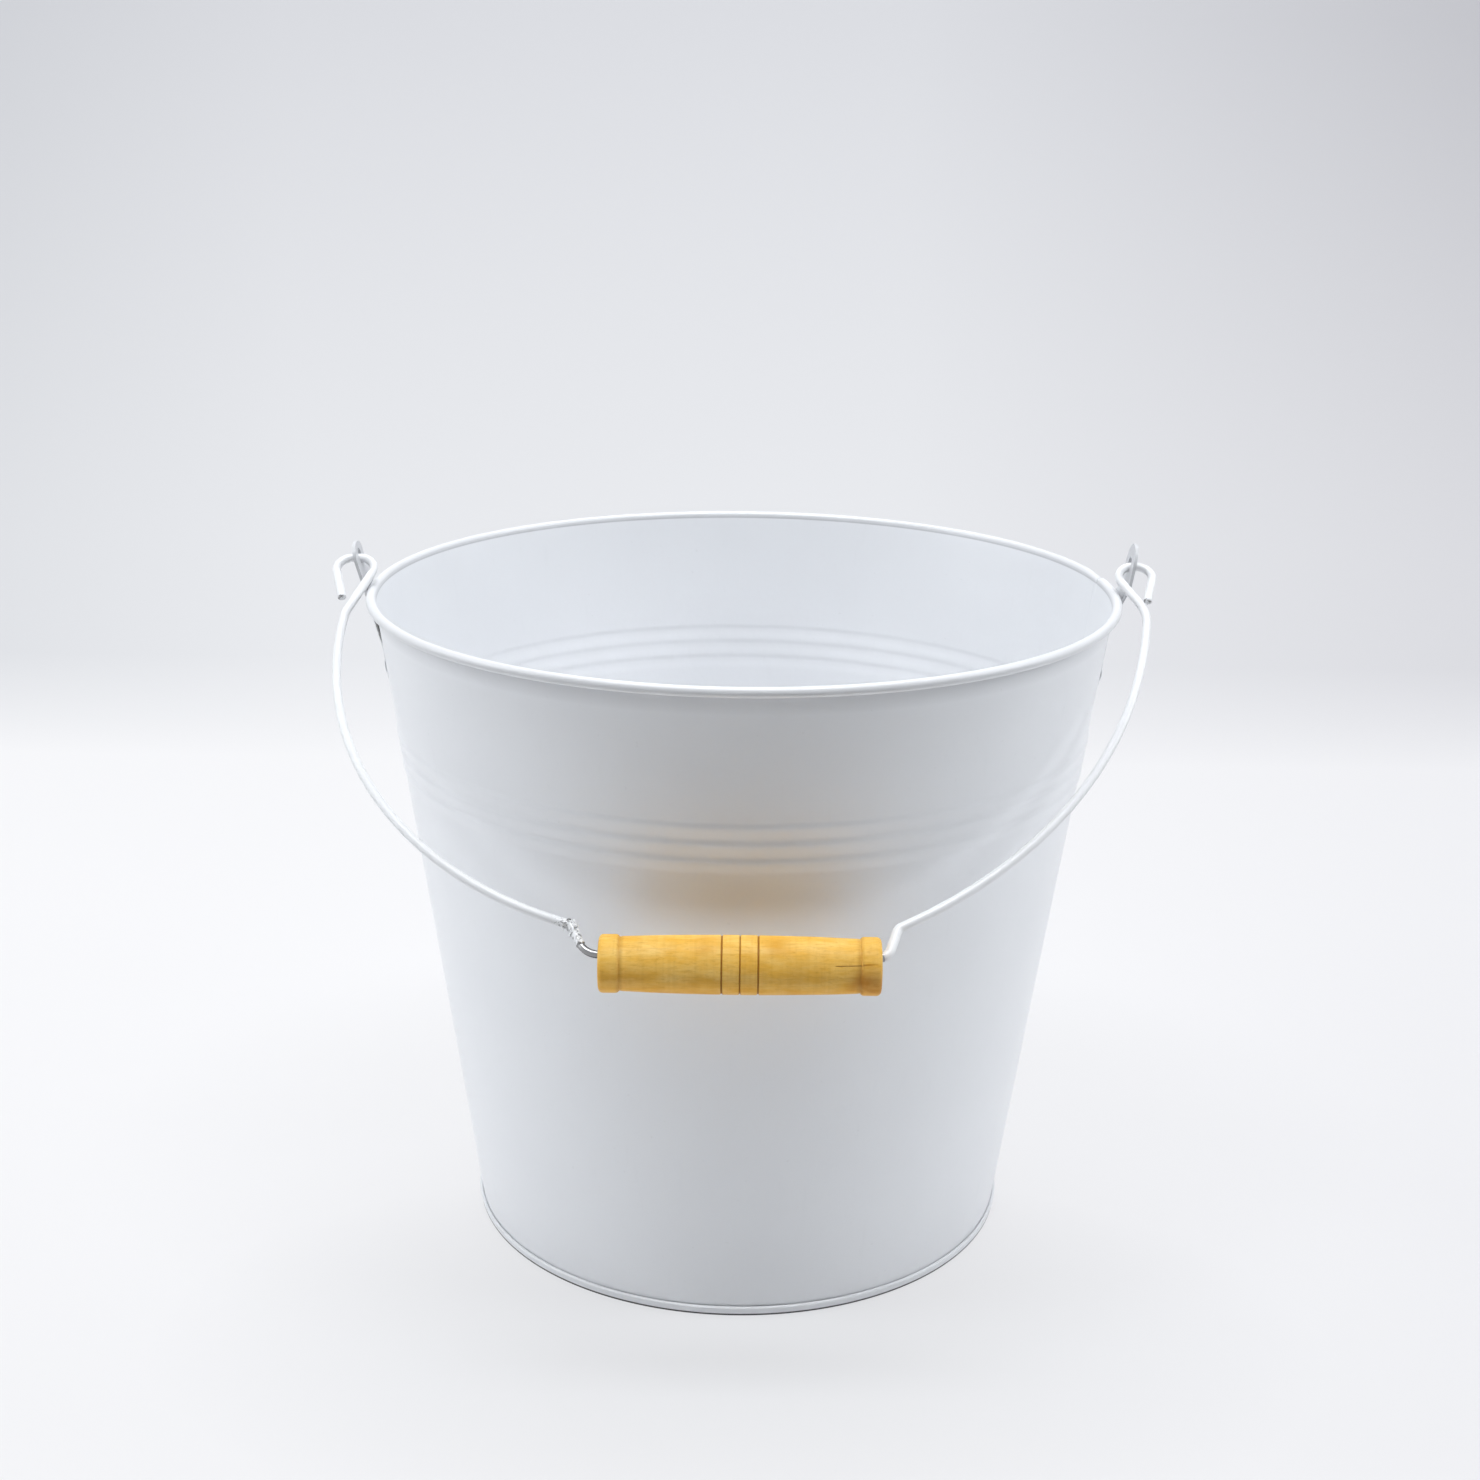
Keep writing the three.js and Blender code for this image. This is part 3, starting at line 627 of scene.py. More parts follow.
def base_section():
    panel_top = BASE_RECESS + BASE_SHEET
    lip = SEAM_HEIGHT - BASE_SHEET
    outer_bend = PANEL_BEND + BASE_SHEET
    under_edge = skirt_radius(BASE_RECESS) - BASE_SHEET - PANEL_BEND
    upper_edge = skirt_radius(panel_top) - outer_bend
    skirt_foot = skirt_radius(0) - BASE_SHEET + SKIRT_ROUND
    fold_edge = fold_radius(SEAM_HEIGHT) + BASE_SHEET - FOOT_ROUND
    flat_start = 0.1

    section = line((0.0, BASE_RECESS), (under_edge, BASE_RECESS), PANEL_STEPS)
    section += arc(under_edge, BASE_RECESS - PANEL_BEND, PANEL_BEND, 90, 0, 6)
    section += arc(skirt_foot, SKIRT_ROUND, SKIRT_ROUND, 180, 270, 5)
    section += arc(FOOT_RADIUS - FOOT_ROUND, FOOT_ROUND, FOOT_ROUND, 270, 360, 8)
    section += [(FOOT_RADIUS, FOOT_LINE_END)]
    section += arc(fold_edge, SEAM_HEIGHT - FOOT_ROUND, FOOT_ROUND, 0, 90, 8)
    section += [
        (wall_radius(SEAM_HEIGHT) + GAP, SEAM_HEIGHT),
        (wall_radius(lip) + GAP, lip),
        (fold_radius(lip), lip),
        (fold_radius(BASE_SHEET), BASE_SHEET),
        (skirt_radius(BASE_SHEET), BASE_SHEET),
    ]
    section += arc(upper_edge, panel_top - outer_bend, outer_bend, 0, 90, 6)
    section += line((upper_edge - flat_start, panel_top), (0.0, panel_top), PANEL_STEPS)
    section += [(0.0, panel_top)]
    return section


def base_wear_and_shade(r, z):
    """Painted contact shadow as a dark line at the floor, and an inside darkened all over, partly wear and
    partly painted shade.
    """
    # painted contact shadow along the foot's lower edge
    if r > FOOT_RADIUS - FOOT_LINE_DEPTH and z < FOOT_LINE:
        return PAINTED_SHADE
    # inside darkened all over, partly wear and partly painted shade
    if r < wall_foot_radius - PANEL_MARGIN and z > BASE_RECESS + BASE_SHEET / 2:
        return HANDLED_AND_SHADED
    return TOUCHED


def make_base():
    section = base_section()
    return lathe("base_pan", section, WALL_STEPS, [base_wear_and_shade(r, z) for r, z in section])


# Ears and rivets

def tab_middle(z):
    return wall_radius(z) + (GAP + EAR_PLATE / 2) / math.cos(wall_taper)


def leg_start():
    return tab_middle(ear_leg_bottom) + EAR_STEP


def slope_past_roll(across, z, clearance):
    """Slope of a plate that starts at a point and passes the rim roll at a clearance."""
    to_roll = Vector((RIM_RADIUS - across, roll_height - z))
    miss = roll_radius + clearance + EAR_PLATE / 2
    return math.tan(math.atan2(to_roll.x, to_roll.y) + math.asin(miss / to_roll.length))


def ear_middle(z, opening=0.0):
    """Middle of the bent ear plate: along the wall, out past the rim roll, upright with the hole."""
    leg_slope = slope_past_roll(leg_start(), ear_leg_bottom, EAR_STANDOFF)
    knee = leg_start() + leg_slope * (ear_knee - ear_leg_bottom)
    upright_slope = math.tan(math.radians(EAR_LEAN))
    hug = tab_middle(EAR_HUG_TOP) + opening
    hug_slope = wall_slope + opening / (EAR_HUG_TOP - ear_leg_bottom)
    pass_slope = slope_past_roll(hug, EAR_HUG_TOP, GAP)
    meet = (knee - upright_slope * ear_knee - hug + pass_slope * EAR_HUG_TOP) / (pass_slope - upright_slope)
    slopes = (wall_slope, hug_slope, pass_slope, upright_slope)
    across = tab_middle(z)
    for bend, before, after in zip((ear_leg_bottom, EAR_HUG_TOP, meet), slopes, slopes[1:]):
        over = z - bend
        if over > EAR_BEND:
            across += (after - before) * over
        elif over > -EAR_BEND:
            across += (after - before) * (over + EAR_BEND) ** 2 / (4 * EAR_BEND)
    return across


def ear_outline(crown):
    """Edge of the unrolled ear: along the wall, and up."""
    half = EAR_WIDTH / 2
    corner = EAR_TAB_CORNER
    foot = ear_tab_bottom + corner
    rise = crown - CROWN_INSET
    rows = int((ear_hole_height - foot) / EAR_MESH)
    outline = [(half * x, ear_hole_height + rise * y) for x, y in arc(0, 0, 1, 0, 180, EAR_ROUND_STEPS)]
    outline += line((-half, ear_hole_height), (-half, foot), rows)[1:]
    outline += arc(corner - half, foot, corner, 180, 270, 8)
    outline += arc(half - corner, foot, corner, 270, 360, 8)
    outline += line((half, foot), (half, ear_hole_height), rows)[1:]
    return outline


def ear_filling(crown):
    """Points inside the ear's outline, in rows, clear of its hole."""
    half = EAR_WIDTH / 2 - EAR_MESH
    spots = []
    for i in range(1, int((ear_hole_height + crown - ear_tab_bottom) / EAR_MESH)):
        z = ear_tab_bottom + EAR_MESH * i
        over = max(z - ear_hole_height, 0) / (crown - EAR_MESH)
        if z < ear_tab_bottom + EAR_TAB_CORNER or over >= 1:
            continue
        reach = half * math.sqrt(1 - over ** 2)
        columns = max(1, int(reach / EAR_MESH))
        for j in range(-columns, columns + 1):
            spot = (reach * j / columns, z)
            if math.dist(spot, (0, ear_hole_height)) > ear_hole_radius + EAR_MESH / 2:
                spots.append(spot)
    return spots


def ear_sheet(crown):
    """Flat mesh of the ear with its hole, fine enough to bend."""
    outline = ear_outline(crown)
    hole = arc(0, ear_hole_height, ear_hole_radius, 0, 360, EAR_ROUND_STEPS)[:-1]
    count = len(outline)
    total = count + len(hole)
    edges = [(i, (i + 1) % count) for i in range(count)]
    edges += [(i, i + 1 if i + 1 < total else count) for i in range(count, total)]
    flat = [Vector(p) for p in outline + hole + ear_filling(crown)]
    inside_only = 1
    tolerance = 1e-5
    spots, _, triangles, *_ = delaunay_2d_cdt(flat, edges, [], inside_only, tolerance)

    def in_hole(triangle):
        middle = sum((spots[i] for i in triangle), Vector((0, 0))) / 3
        return math.dist(middle, (0, ear_hole_height)) < ear_hole_radius * HOLE_SHARE

    return spots, [tuple(t) for t in triangles if not in_hole(t)]


def leg_gap_shade(z):
    """How much painted shade the inner side of the leg gets between the tab and the rim roll, for the deep
    shade in the gap behind it.
    """
    below_top, below_end = LEG_SHADE_TOP
    below_roll = 1 - smooth_step(roll_height - below_top, roll_height - below_end, z)
    above_tab = smooth_step(ear_leg_bottom, ear_leg_bottom + LEG_SHADE_START, z)
    return below_roll * above_tab


def make_ear(name, turn, crown, opening, leg_shade):
    spots, triangles = ear_sheet(crown)
    nudge = 0.1
    outer = []
    inner = []
    inside_wear_and_shade = []
    for spot in spots:
        slope = (ear_middle(spot.y + nudge, opening) - ear_middle(spot.y - nudge, opening)) / (2 * nudge)
        normal = Vector((1, 0, -slope)).normalized() * EAR_PLATE / 2
        middle = Vector((ear_middle(spot.y, opening), spot.x, spot.y))
        outer.append(middle + normal)
        inner.append(middle - normal)
        # light wear, and painted shade in the gap behind the leg
        inside_wear_and_shade.append(TOUCHED + leg_shade * leg_gap_shade(spot.y))
    count = len(spots)
    used = [edge for t in triangles for edge in zip(t, t[1:] + t[:1])]
    rim = [edge for edge in used if edge[::-1] not in set(used)]
    faces = list(triangles)
    faces += [tuple(i + count for i in reversed(t)) for t in triangles]
    faces += [(b, a, a + count, b + count) for a, b in rim]
    wear_and_shade = [TOUCHED] * count + inside_wear_and_shade
    ear = make_object(name + "_plate", outer + inner, faces, wear_and_shade, Matrix.Rotation(turn, 4, "Z"))
    edge = ear.modifiers.new("round_edges", "BEVEL")
    edge.width = EAR_EDGE * MM
    edge.segments = 3
    edge.limit_method = "ANGLE"
    edge.angle_limit = math.radians(60)
    return ear


def make_rivet(name, turn, side):
    head = RIVET_HEAD_DIAMETER / 2
    shank = RIVET_DIAMETER / 2
    inner = -WALL_SHEET - GAP
    outer = GAP + EAR_PLATE + GAP
    dome = arc(0, 0, 1, 0, 90, 12)[:-1]
    section = [(0.0, inner - RIVET_HEAD_RISE)]
    section += [(x * head, inner - y * RIVET_HEAD_RISE) for x, y in reversed(dome)]
    section += [(shank, inner), (shank, outer)]
    section += [(x * head, outer + y * RIVET_HEAD_RISE) for x, y in dome]
    section += [(0.0, outer + RIVET_HEAD_RISE)]
    outward = Vector((math.cos(wall_taper), 0, -math.sin(wall_taper)))
    place = Vector((wall_radius(rivet_height), side * RIVET_SPACING / 2, rivet_height)) * MM
    stand = Matrix.Translation(place) @ outward.to_track_quat("Z", "Y").to_matrix().to_4x4()
    turned = Matrix.Rotation(turn, 4, "Z") @ stand
    return lathe(name + "_head", section, RIVET_STEPS, [RUBBED] * len(section), turned)


# Bail

def half_bail(arm):
    """Corners of half the wire with their bend radii: across from the axis, along the bail."""
    pivot_offset = ear_middle(pivot_height)
    wire_drop = BAIL_LENGTH - grip_play
    entry = GRIP_LENGTH / 2 + arm["lead"]
    start = Vector((pivot_offset + arm["offset"], arm["drop"]))
    end = Vector((entry + arm["run"], wire_drop - JOGGLE_DROP))
    start_slope = math.tan(math.radians(arm["lean"]))
    end_slope = math.tan(math.radians(arm["turn"]))
    drop = (start.x + start_slope * start.y - end.x - end_slope * end.y) / (start_slope - end_slope)
    middle = Vector((end.x + end_slope * (end.y - drop), drop))
    leg = min((middle - start).length, (middle - end).length)
    wide_bend = (leg - WIDE_BEND_MARGIN) / math.tan(math.radians(arm["turn"] - arm["lean"]) / 2)
    corners = [
        (pivot_offset + EYE_OUTER - EYE_TAIL_LEAN * arm["tail"], arm["tail"], 0),
        (pivot_offset + EYE_OUTER, 0, EYE_BEND),
        (pivot_offset - EYE_INNER, 0, EYE_BEND),
        (start.x, start.y, arm["arm_bend"]),
        (middle.x, middle.y, wide_bend),
        (end.x, end.y, arm["joggle_bend"]),
        (entry, wire_drop, arm["entry_bend"]),
    ]
    return [(Vector((arm["side"] * x, -y)), bend) for x, y, bend in corners]


def bend_points(before, corner, after, radius, turn_step=3.0):
    """Points round one bend of the wire, every few degrees."""
    into = (corner - before).normalized()
    out = (after - corner).normalized()
    turn = into.angle_signed(out)
    start = corner - into * radius * math.tan(abs(turn) / 2)
    hand = -1 if turn > 0 else 1
    centre = start + Vector((-into.y, into.x)) * hand * radius
    steps = max(2, math.ceil(math.degrees(abs(turn)) / turn_step))
    points = []
    for i in range(steps + 1):
        spun = Matrix.Rotation(hand * abs(turn) * i / steps, 2) @ (start - centre)
        points.append(centre + spun)
    return points


def bent_path(corners, leg_step=1.2):
    """Close points along straight legs and round bends."""
    bends = []
    for (before, _), (corner, radius), (after, _) in zip(corners, corners[1:], corners[2:]):
        bends.append(bend_points(before, corner, after, radius))
    path = [corners[0][0]]
    for bend in bends + [[corners[-1][0]]]:
        leg = bend[0] - path[-1]
        pieces = max(1, math.ceil(leg.length / leg_step))
        path += [path[-1] + leg * i / pieces for i in range(1, pieces)]
        path += bend
    return path


def bail_wear(p):
    """Bare steel beside the left end of the grip, flaking paint on the step next to it."""
    if p.y >= -NEAR_GRIP:
        return OUTSIDE
    left = -p.x - GRIP_LENGTH / 2
    right = p.x - GRIP_LENGTH / 2
    along_step = -p.y - (BAIL_LENGTH - grip_play - JOGGLE_DROP)
    if left > 0:
        if along_step > BARE_START:
            return BARE
        if along_step > FLAKING_START:
            return FLAKING
        return SCRATCHES * (1 - smooth_step(*SCRATCHES_REACH, left)) + OUTSIDE
    if 0 < right < BARE_SPOT:
        return CHIPPED
    return OUTSIDE


def add_flakes(zone, points, faces, wear_and_shade):
    """Lifted chips of paint on a stretch of the wire, with painted shade under them."""
    dice = random.Random(FLAKE_SEED)
    for _ in range(FLAKE_COUNT):
        centre, forward = dice.choice(zone)
        ahead = Vector((forward.x, forward.y, 0))
        turn = dice.uniform(0, 2 * math.pi)
        out = ahead.cross(UPWARD) * math.cos(turn) + UPWARD * math.sin(turn)
        over = ahead.cross(out)
        spin = dice.uniform(0, 2 * math.pi)
        length = dice.uniform(*FLAKE_SIZE)
        width = dice.uniform(*FLAKE_SIZE) * FLAKE_NARROWING
        lift = dice.uniform(*FLAKE_LIFT)
        along = ahead * math.cos(spin) + over * math.sin(spin)
        beside = over * math.cos(spin) - ahead * math.sin(spin)
        base = len(points)
        for level in (0, 1):
            for u, v in FLAKE_CORNERS:
                height = wire_radius - FLAKE_ROOT + lift * (u + 1) / 2 + FLAKE_SHEET * level
                flat = along * u * length / 2 + beside * v * width / 2
                points.append(Vector((centre.x, centre.y, 0)) + out * height + flat)
                # painted shade on the underside of each flake
                wear_and_shade.append(SHELTERED if level else PAINTED_SHADE)
        faces.append((base + 3, base + 2, base + 1, base))
        faces.append((base + 4, base + 5, base + 6, base + 7))
        for i in range(4):
            j = (i + 1) % 4
            faces.append((base + i, base + j, base + j + 4, base + i + 4))


def wire_ring(centre, forward, radius, wear_shade_level):
    """One ring of points round the wire, with their wear. Bare steel gets painted shade underneath."""
    across = Vector((-forward.y, forward.x, 0))
    spot = Vector((centre.x, centre.y, 0))
    points = []
    wear_and_shade = []
    for j in range(WIRE_SIDES):
        angle = 2 * math.pi * j / WIRE_SIDES
        out = across * math.cos(angle) + UPWARD * math.sin(angle)
        points.append(spot + out * radius)
        # painted shade on the underside of bare steel
        dark = smooth_step(*UNDERSIDE_EDGE, out.dot(UNDERSIDE)) if wear_shade_level == BARE else 0.0
        wear_and_shade.append(wear_shade_level + dark)
    return points, wear_and_shade


def cut_end(tip, forward, inward):
    """Rings that round off an end of the wire. Inward is 1 at its start and -1 at its end."""
    rings = []
    for along, inset in CUT_INSETS:
        rings.append((tip + forward * inward * along, forward, wire_radius - inset, CUT_END))
    return rings


def wire_rings(path, ahead):
    """Centre, direction, radius and wear of each ring along the wire, small at its cut ends."""
    rings = cut_end(path[0], ahead[0], 1)
    for centre, forward in list(zip(path, ahead))[1:-1]:
        wear_shade_level = bail_wear(centre)
        lump = PAINT_WAVE * noise.noise(Vector((centre.x, centre.y, 0)) * PAINT_WAVE_ALONG)
        thinner = BARE_DEPTH * smooth_step(*BARE_FADE, wear_shade_level)
        rings.append((centre, forward, wire_radius - PAINT_WAVE - PAINT_INSET + lump - thinner, wear_shade_level))
    return rings + cut_end(path[-1], ahead[-1], -1)[::-1]


def make_bail(matrix):
    path = bent_path(half_bail(LEFT_ARM) + half_bail(RIGHT_ARM)[::-1])
    legs = [(b - a).normalized() for a, b in zip(path, path[1:])]
    ahead = [legs[0]] + [(a + b).normalized() for a, b in zip(legs, legs[1:])] + [legs[-1]]
    points = []
    wear_and_shade = []
    for ring in wire_rings(path, ahead):
        ring_points, ring_wear = wire_ring(*ring)
        points += ring_points
        wear_and_shade += ring_wear
    count = len(points) // WIRE_SIDES
    faces = ring_faces(count, WIRE_SIDES, False)
    faces.append(tuple(range(WIRE_SIDES - 1, -1, -1)))
    faces.append(tuple(range((count - 1) * WIRE_SIDES, count * WIRE_SIDES)))
    faces = [tuple(reversed(face)) for face in faces]
    zone = [(centre, forward) for centre, forward in zip(path, ahead) if bail_wear(centre) == FLAKING]
    add_flakes(zone, points, faces, wear_and_shade)
    return make_object("bail_wire_painted", points, faces, wear_and_shade, matrix)


# Grip

def belly_radius(x):
    neck_radius = GRIP_NECK_DIAMETER / 2
    return grip_radius - (grip_radius - neck_radius) * (x / grip_neck) ** 2


def groove_depth(x):
    depth = 0.0
    for i in range(GROOVE_COUNT):
        away = abs(x - GROOVE_SPACING * (i - (GROOVE_COUNT - 1) / 2))
        depth = max(depth, GROOVE_DEPTH * (1 - smooth_step(0, GROOVE_WIDTH / 2, away)))
    return depth


def grip_outline():
    """Half section of the grip along its length, from the right end to the left."""
    end = GRIP_LENGTH / 2
    collar = GRIP_COLLAR_DIAMETER / 2
    corner = GRIP_COLLAR_ROUND
    half = line((end, GRIP_BORE / 2), (end, collar - corner), 6)
    half += arc(end - corner, collar - corner, corner, 0, 90, 10)
    half += arc(end - GRIP_COLLAR, collar - corner, corner, 90, GRIP_SHOULDER, 6)
    half += line(half[-1], (grip_neck, belly_radius(grip_neck)), 5)[1:]
    rows = int(grip_neck / GRIP_ROW)
    for i in range(rows):
        x = grip_neck * (1 - i / rows)
        half.append((x, belly_radius(x) - groove_depth(x)))
    middle = [(0.0, belly_radius(0) - groove_depth(0))]
    return half + middle + [(-x, r) for x, r in reversed(half)]


def crack_depth(x, angle):
    """Depth of the drying cracks at the right collar, angle in degrees."""
    depth = 0.0
    for (start_x, start_angle), (end_x, end_angle), most in GRIP_CRACKS:
        share = (x - start_x) / (end_x - start_x)
        if not 0 <= share <= 1:
            continue
        wander = CRACK_WANDER * noise.noise(Vector((x * CRACK_WANDER_ALONG, start_angle, 0)))
        away = abs(angle - (start_angle + (end_angle - start_angle) * share + wander))
        ends = smooth_step(0, CRACK_ENDS, share) * smooth_step(0, CRACK_ENDS, 1 - share)
        depth = max(depth, most * ends * (1 - smooth_step(0, CRACK_HALF_WIDTH, away)))
    return depth


def grip_angles():
    """Directions round the grip in degrees, closer together where the cracks are."""
    low, high = CRACK_ZONE
    angles = [low + (high - low) * i / CRACK_STEPS for i in range(CRACK_STEPS)]
    return angles + [high + (360 - high + low) * i / GRIP_STEPS for i in range(GRIP_STEPS)]


def neck_shade(x):
    """Painted shade in the corners beside the collars."""
    corner = GRIP_LENGTH / 2 - GRIP_COLLAR - GRIP_COLLAR_ROUND
    return NECK_SHADE * (1 - smooth_step(*NECK_SHADE_REACH, abs(abs(x) - corner)))


def make_grip(matrix):
    outline = grip_outline()
    points = []
    wear_and_shade = []
    for angle in grip_angles():
        out = Vector((0, math.cos(math.radians(angle)), math.sin(math.radians(angle))))
        for x, r in outline:
            along = Vector((x, 0, 0))
            crack = crack_depth(x, angle) if r > GRIP_BORE / 2 + CRACK_START else 0.0
            wave = GRIP_WAVE * noise.noise(along * GRIP_WAVE_ALONG + out * GRIP_WAVE_ROUND) - GRIP_WAVE
            points.append(along + out * (r + wave - crack))
            groove = smooth_step(0, 0.5, groove_depth(x) / GROOVE_DEPTH)
            wear_and_shade.append(max(groove, neck_shade(x), CRACK_DARKENING * crack))
    faces = ring_faces(len(points) // len(outline), len(outline), True)
    faces = [tuple(reversed(face)) for face in faces]
    return make_object("grip_turned", points, faces, wear_and_shade, matrix)


# Materials

class Shader:
    """Node tree of a material or a world, with its main shader."""

    def __init__(self, owner, main="Principled BSDF"):
        self.owner = owner
        self.owner.use_nodes = True
        self.tree = self.owner.node_tree
        self.main = self.tree.nodes[main]

    def node(self, kind, inputs=None, **settings):
        made = self.tree.nodes.new("ShaderNode" + kind)
        for key, value in settings.items():
            setattr(made, key, value)
        for key, value in (inputs or {}).items():
            self.put(made.inputs[key], value)
        return made

    def put(self, socket, value):
        if isinstance(value, bpy.types.NodeSocket):
            self.tree.links.new(value, socket)
        else:
            socket.default_value = value

    def set(self, **values):
        for key, value in values.items():
            self.put(self.main.inputs[key.replace("_", " ")], value)

    def place(self):
        return self.node("TexCoord").outputs["Object"]

    # per-point wear, together with painted shade
    def wear_and_shade(self):
        return self.node("Attribute", attribute_name="wear_and_shade").outputs["Fac"]

    def seen(self):
        """1 for rays from the camera and for those that mirrors and glass send on, else 0."""
        rays = self.node("LightPath").outputs
        direct = self.math("MAXIMUM", rays["Is Camera Ray"], rays["Is Transmission Ray"])
        return self.math("MAXIMUM", direct, rays["Is Glossy Ray"])

    def noise(self, vector, scale, detail=2.0, roughness=0.5):
        inputs = {"Vector": vector, "Scale": scale, "Detail": detail, "Roughness": roughness}
        return self.node("TexNoise", inputs).outputs["Fac"]

    def grain(self, vector, scale, detail=3.0, roughness=0.5):
        """Noise with its own scale along each axis."""
        stretched = self.node("Mapping", {"Vector": vector, "Scale": scale}).outputs["Vector"]
        return self.noise(stretched, 1.0, detail, roughness)

    def math(self, operation, a, b=0.0):
        return self.node("Math", {0: a, 1: b}, operation=operation).outputs[0]

    def times(self, a, b):
        return self.math("MULTIPLY", a, b)

    def span(self, value, low, high, out_low=0.0, out_high=1.0):
        """Value from low to high mapped to another range, and held at its ends."""
        inputs = {"Value": value, "From Min": low, "From Max": high, "To Min": out_low, "To Max": out_high}
        return self.node("MapRange", inputs).outputs["Result"]

    def blend(self, share, a, b, way="MIX"):
        made = self.node("Mix", data_type="RGBA", blend_type=way)
        for index, value in ((0, share), (6, a), (7, b)):
            self.put(made.inputs[index], value)
        return made.outputs[2]

    def bump(self, height, distance, strength=1.0, normal=None):
        made = self.node("Bump", {"Height": height, "Distance": distance, "Strength": strength})
        if normal is not None:
            self.put(made.inputs["Normal"], normal)
        return made.outputs["Normal"]

    def length(self, vector):
        return self.node("VectorMath", {0: vector}, operation="LENGTH").outputs["Value"]

    def spot(self, place, centre, reach):
        """1 round a centre, fading to 0 at a reach along each axis, in millimetres."""
        inputs = {"Vector": place, "Location": Vector(centre) * MM, "Scale": Vector(reach) * MM}
        local = self.node("Mapping", inputs, vector_type="TEXTURE").outputs["Vector"]
        return self.span(self.length(local), 0.25, 1.0, 1.0, 0.0)


def painted_steel(name, white, worn_white, handled_and_shaded_tone=HANDLED_AND_SHADED_WHITE, rim_shade_band=None):
    """White semi-gloss paint with orange peel and scuffs, and painted shade between two heights on the
    outside, under the rim roll.

    It is chipped to the steel as wear nears BARE. Well above that it turns near black, as painted shade.
    """
    shader = Shader(bpy.data.materials.new(name))
    place = shader.place()
    wear_shade_level = shader.wear_and_shade()
    grit = shader.noise(place, 950.0, detail=4.0, roughness=0.62)
    bare = shader.span(shader.math("SUBTRACT", wear_shade_level, grit), -0.02, 0.03)

    cloud = shader.span(shader.noise(place, 14.0, detail=3.0), 0.3, 0.7)
    paint = shader.blend(cloud, white, worn_white)
    streaks = shader.grain(place, (260.0, 260.0, 14.0), roughness=0.6)
    scuffs = shader.span(streaks, 0.62, 0.74, 0.0, 0.04)
    paint = shader.blend(scuffs, paint, SCUFF)
    specks = shader.span(shader.noise(place, 520.0, detail=1.0), 0.76, 0.8, 0.0, 0.1)
    paint = shader.blend(specks, paint, SPECK)
    # darker where handled, partly wear and partly painted shade
    handled_and_shaded = shader.span(wear_shade_level, TOUCHED, HANDLED_AND_SHADED, 0.0, 0.8)
    handled_and_shaded = shader.times(handled_and_shaded, shader.span(cloud, 0.0, 1.0, 0.85, 1.15))
    paint = shader.blend(handled_and_shaded, paint, handled_and_shaded_tone)
    # painted shade under the rim roll
    if rim_shade_band:
        paint = shader.blend(under_rim_shade(shader, place, wear_shade_level, rim_shade_band), paint, UNDER_RIM_SHADE)
    # near black above BARE, as painted shade
    shade_black_share = shader.span(wear_shade_level, 1.2, 1.8)
    metal = shader.blend(shade_black_share, CHIPPED_STEEL, PAINTED_SHADE_BLACK)
    shader.set(Base_Color=shader.blend(bare, paint, metal))
    shader.set(Metallic=shader.math("SUBTRACT", bare, shade_black_share))

    gloss = shader.span(shader.noise(place, 45.0, detail=4.0), 0.3, 0.7, 0.29, 0.38)
    shader.set(Roughness=shader.math("ADD", gloss, shader.times(scuffs, 0.9)))
    peel = shader.bump(shader.noise(place, 420.0), 0.00005, 0.5)
    sheet = shader.bump(shader.noise(place, 32.0), 0.0006, 0.25, peel)
    layer = shader.math("SUBTRACT", 1.0, bare)
    shader.set(Normal=shader.bump(layer, 0.0001, 0.8, sheet))
    return shader.owner


def under_rim_shade(shader, place, wear_shade_level, band):
    """Painted shade that thickens up to the rim, on the outside and less on the roll."""
    low, high = band
    height = shader.node("SeparateXYZ", {"Vector": place}).outputs["Z"]
    rising = shader.span(height, low * MM, high * MM, 0.0, 0.6)
    outside = shader.span(wear_shade_level, 0.02, 0.08)
    off_roll = shader.span(wear_shade_level, HANDLED_AND_SHADED, 0.16, 0.3, 1.0)
    return shader.times(rising, shader.times(outside, off_roll))


def drawn_steel():
    shader = Shader(bpy.data.materials.new("drawn_steel"))
    lines = shader.grain(shader.place(), (300.0, 300.0, 2500.0))
    shader.set(Base_Color=shader.blend(lines, DULL_STEEL, BRIGHT_STEEL))
    shader.set(Metallic=1.0, Roughness=shader.span(lines, 0.2, 0.8, 0.28, 0.45))
    return shader.owner


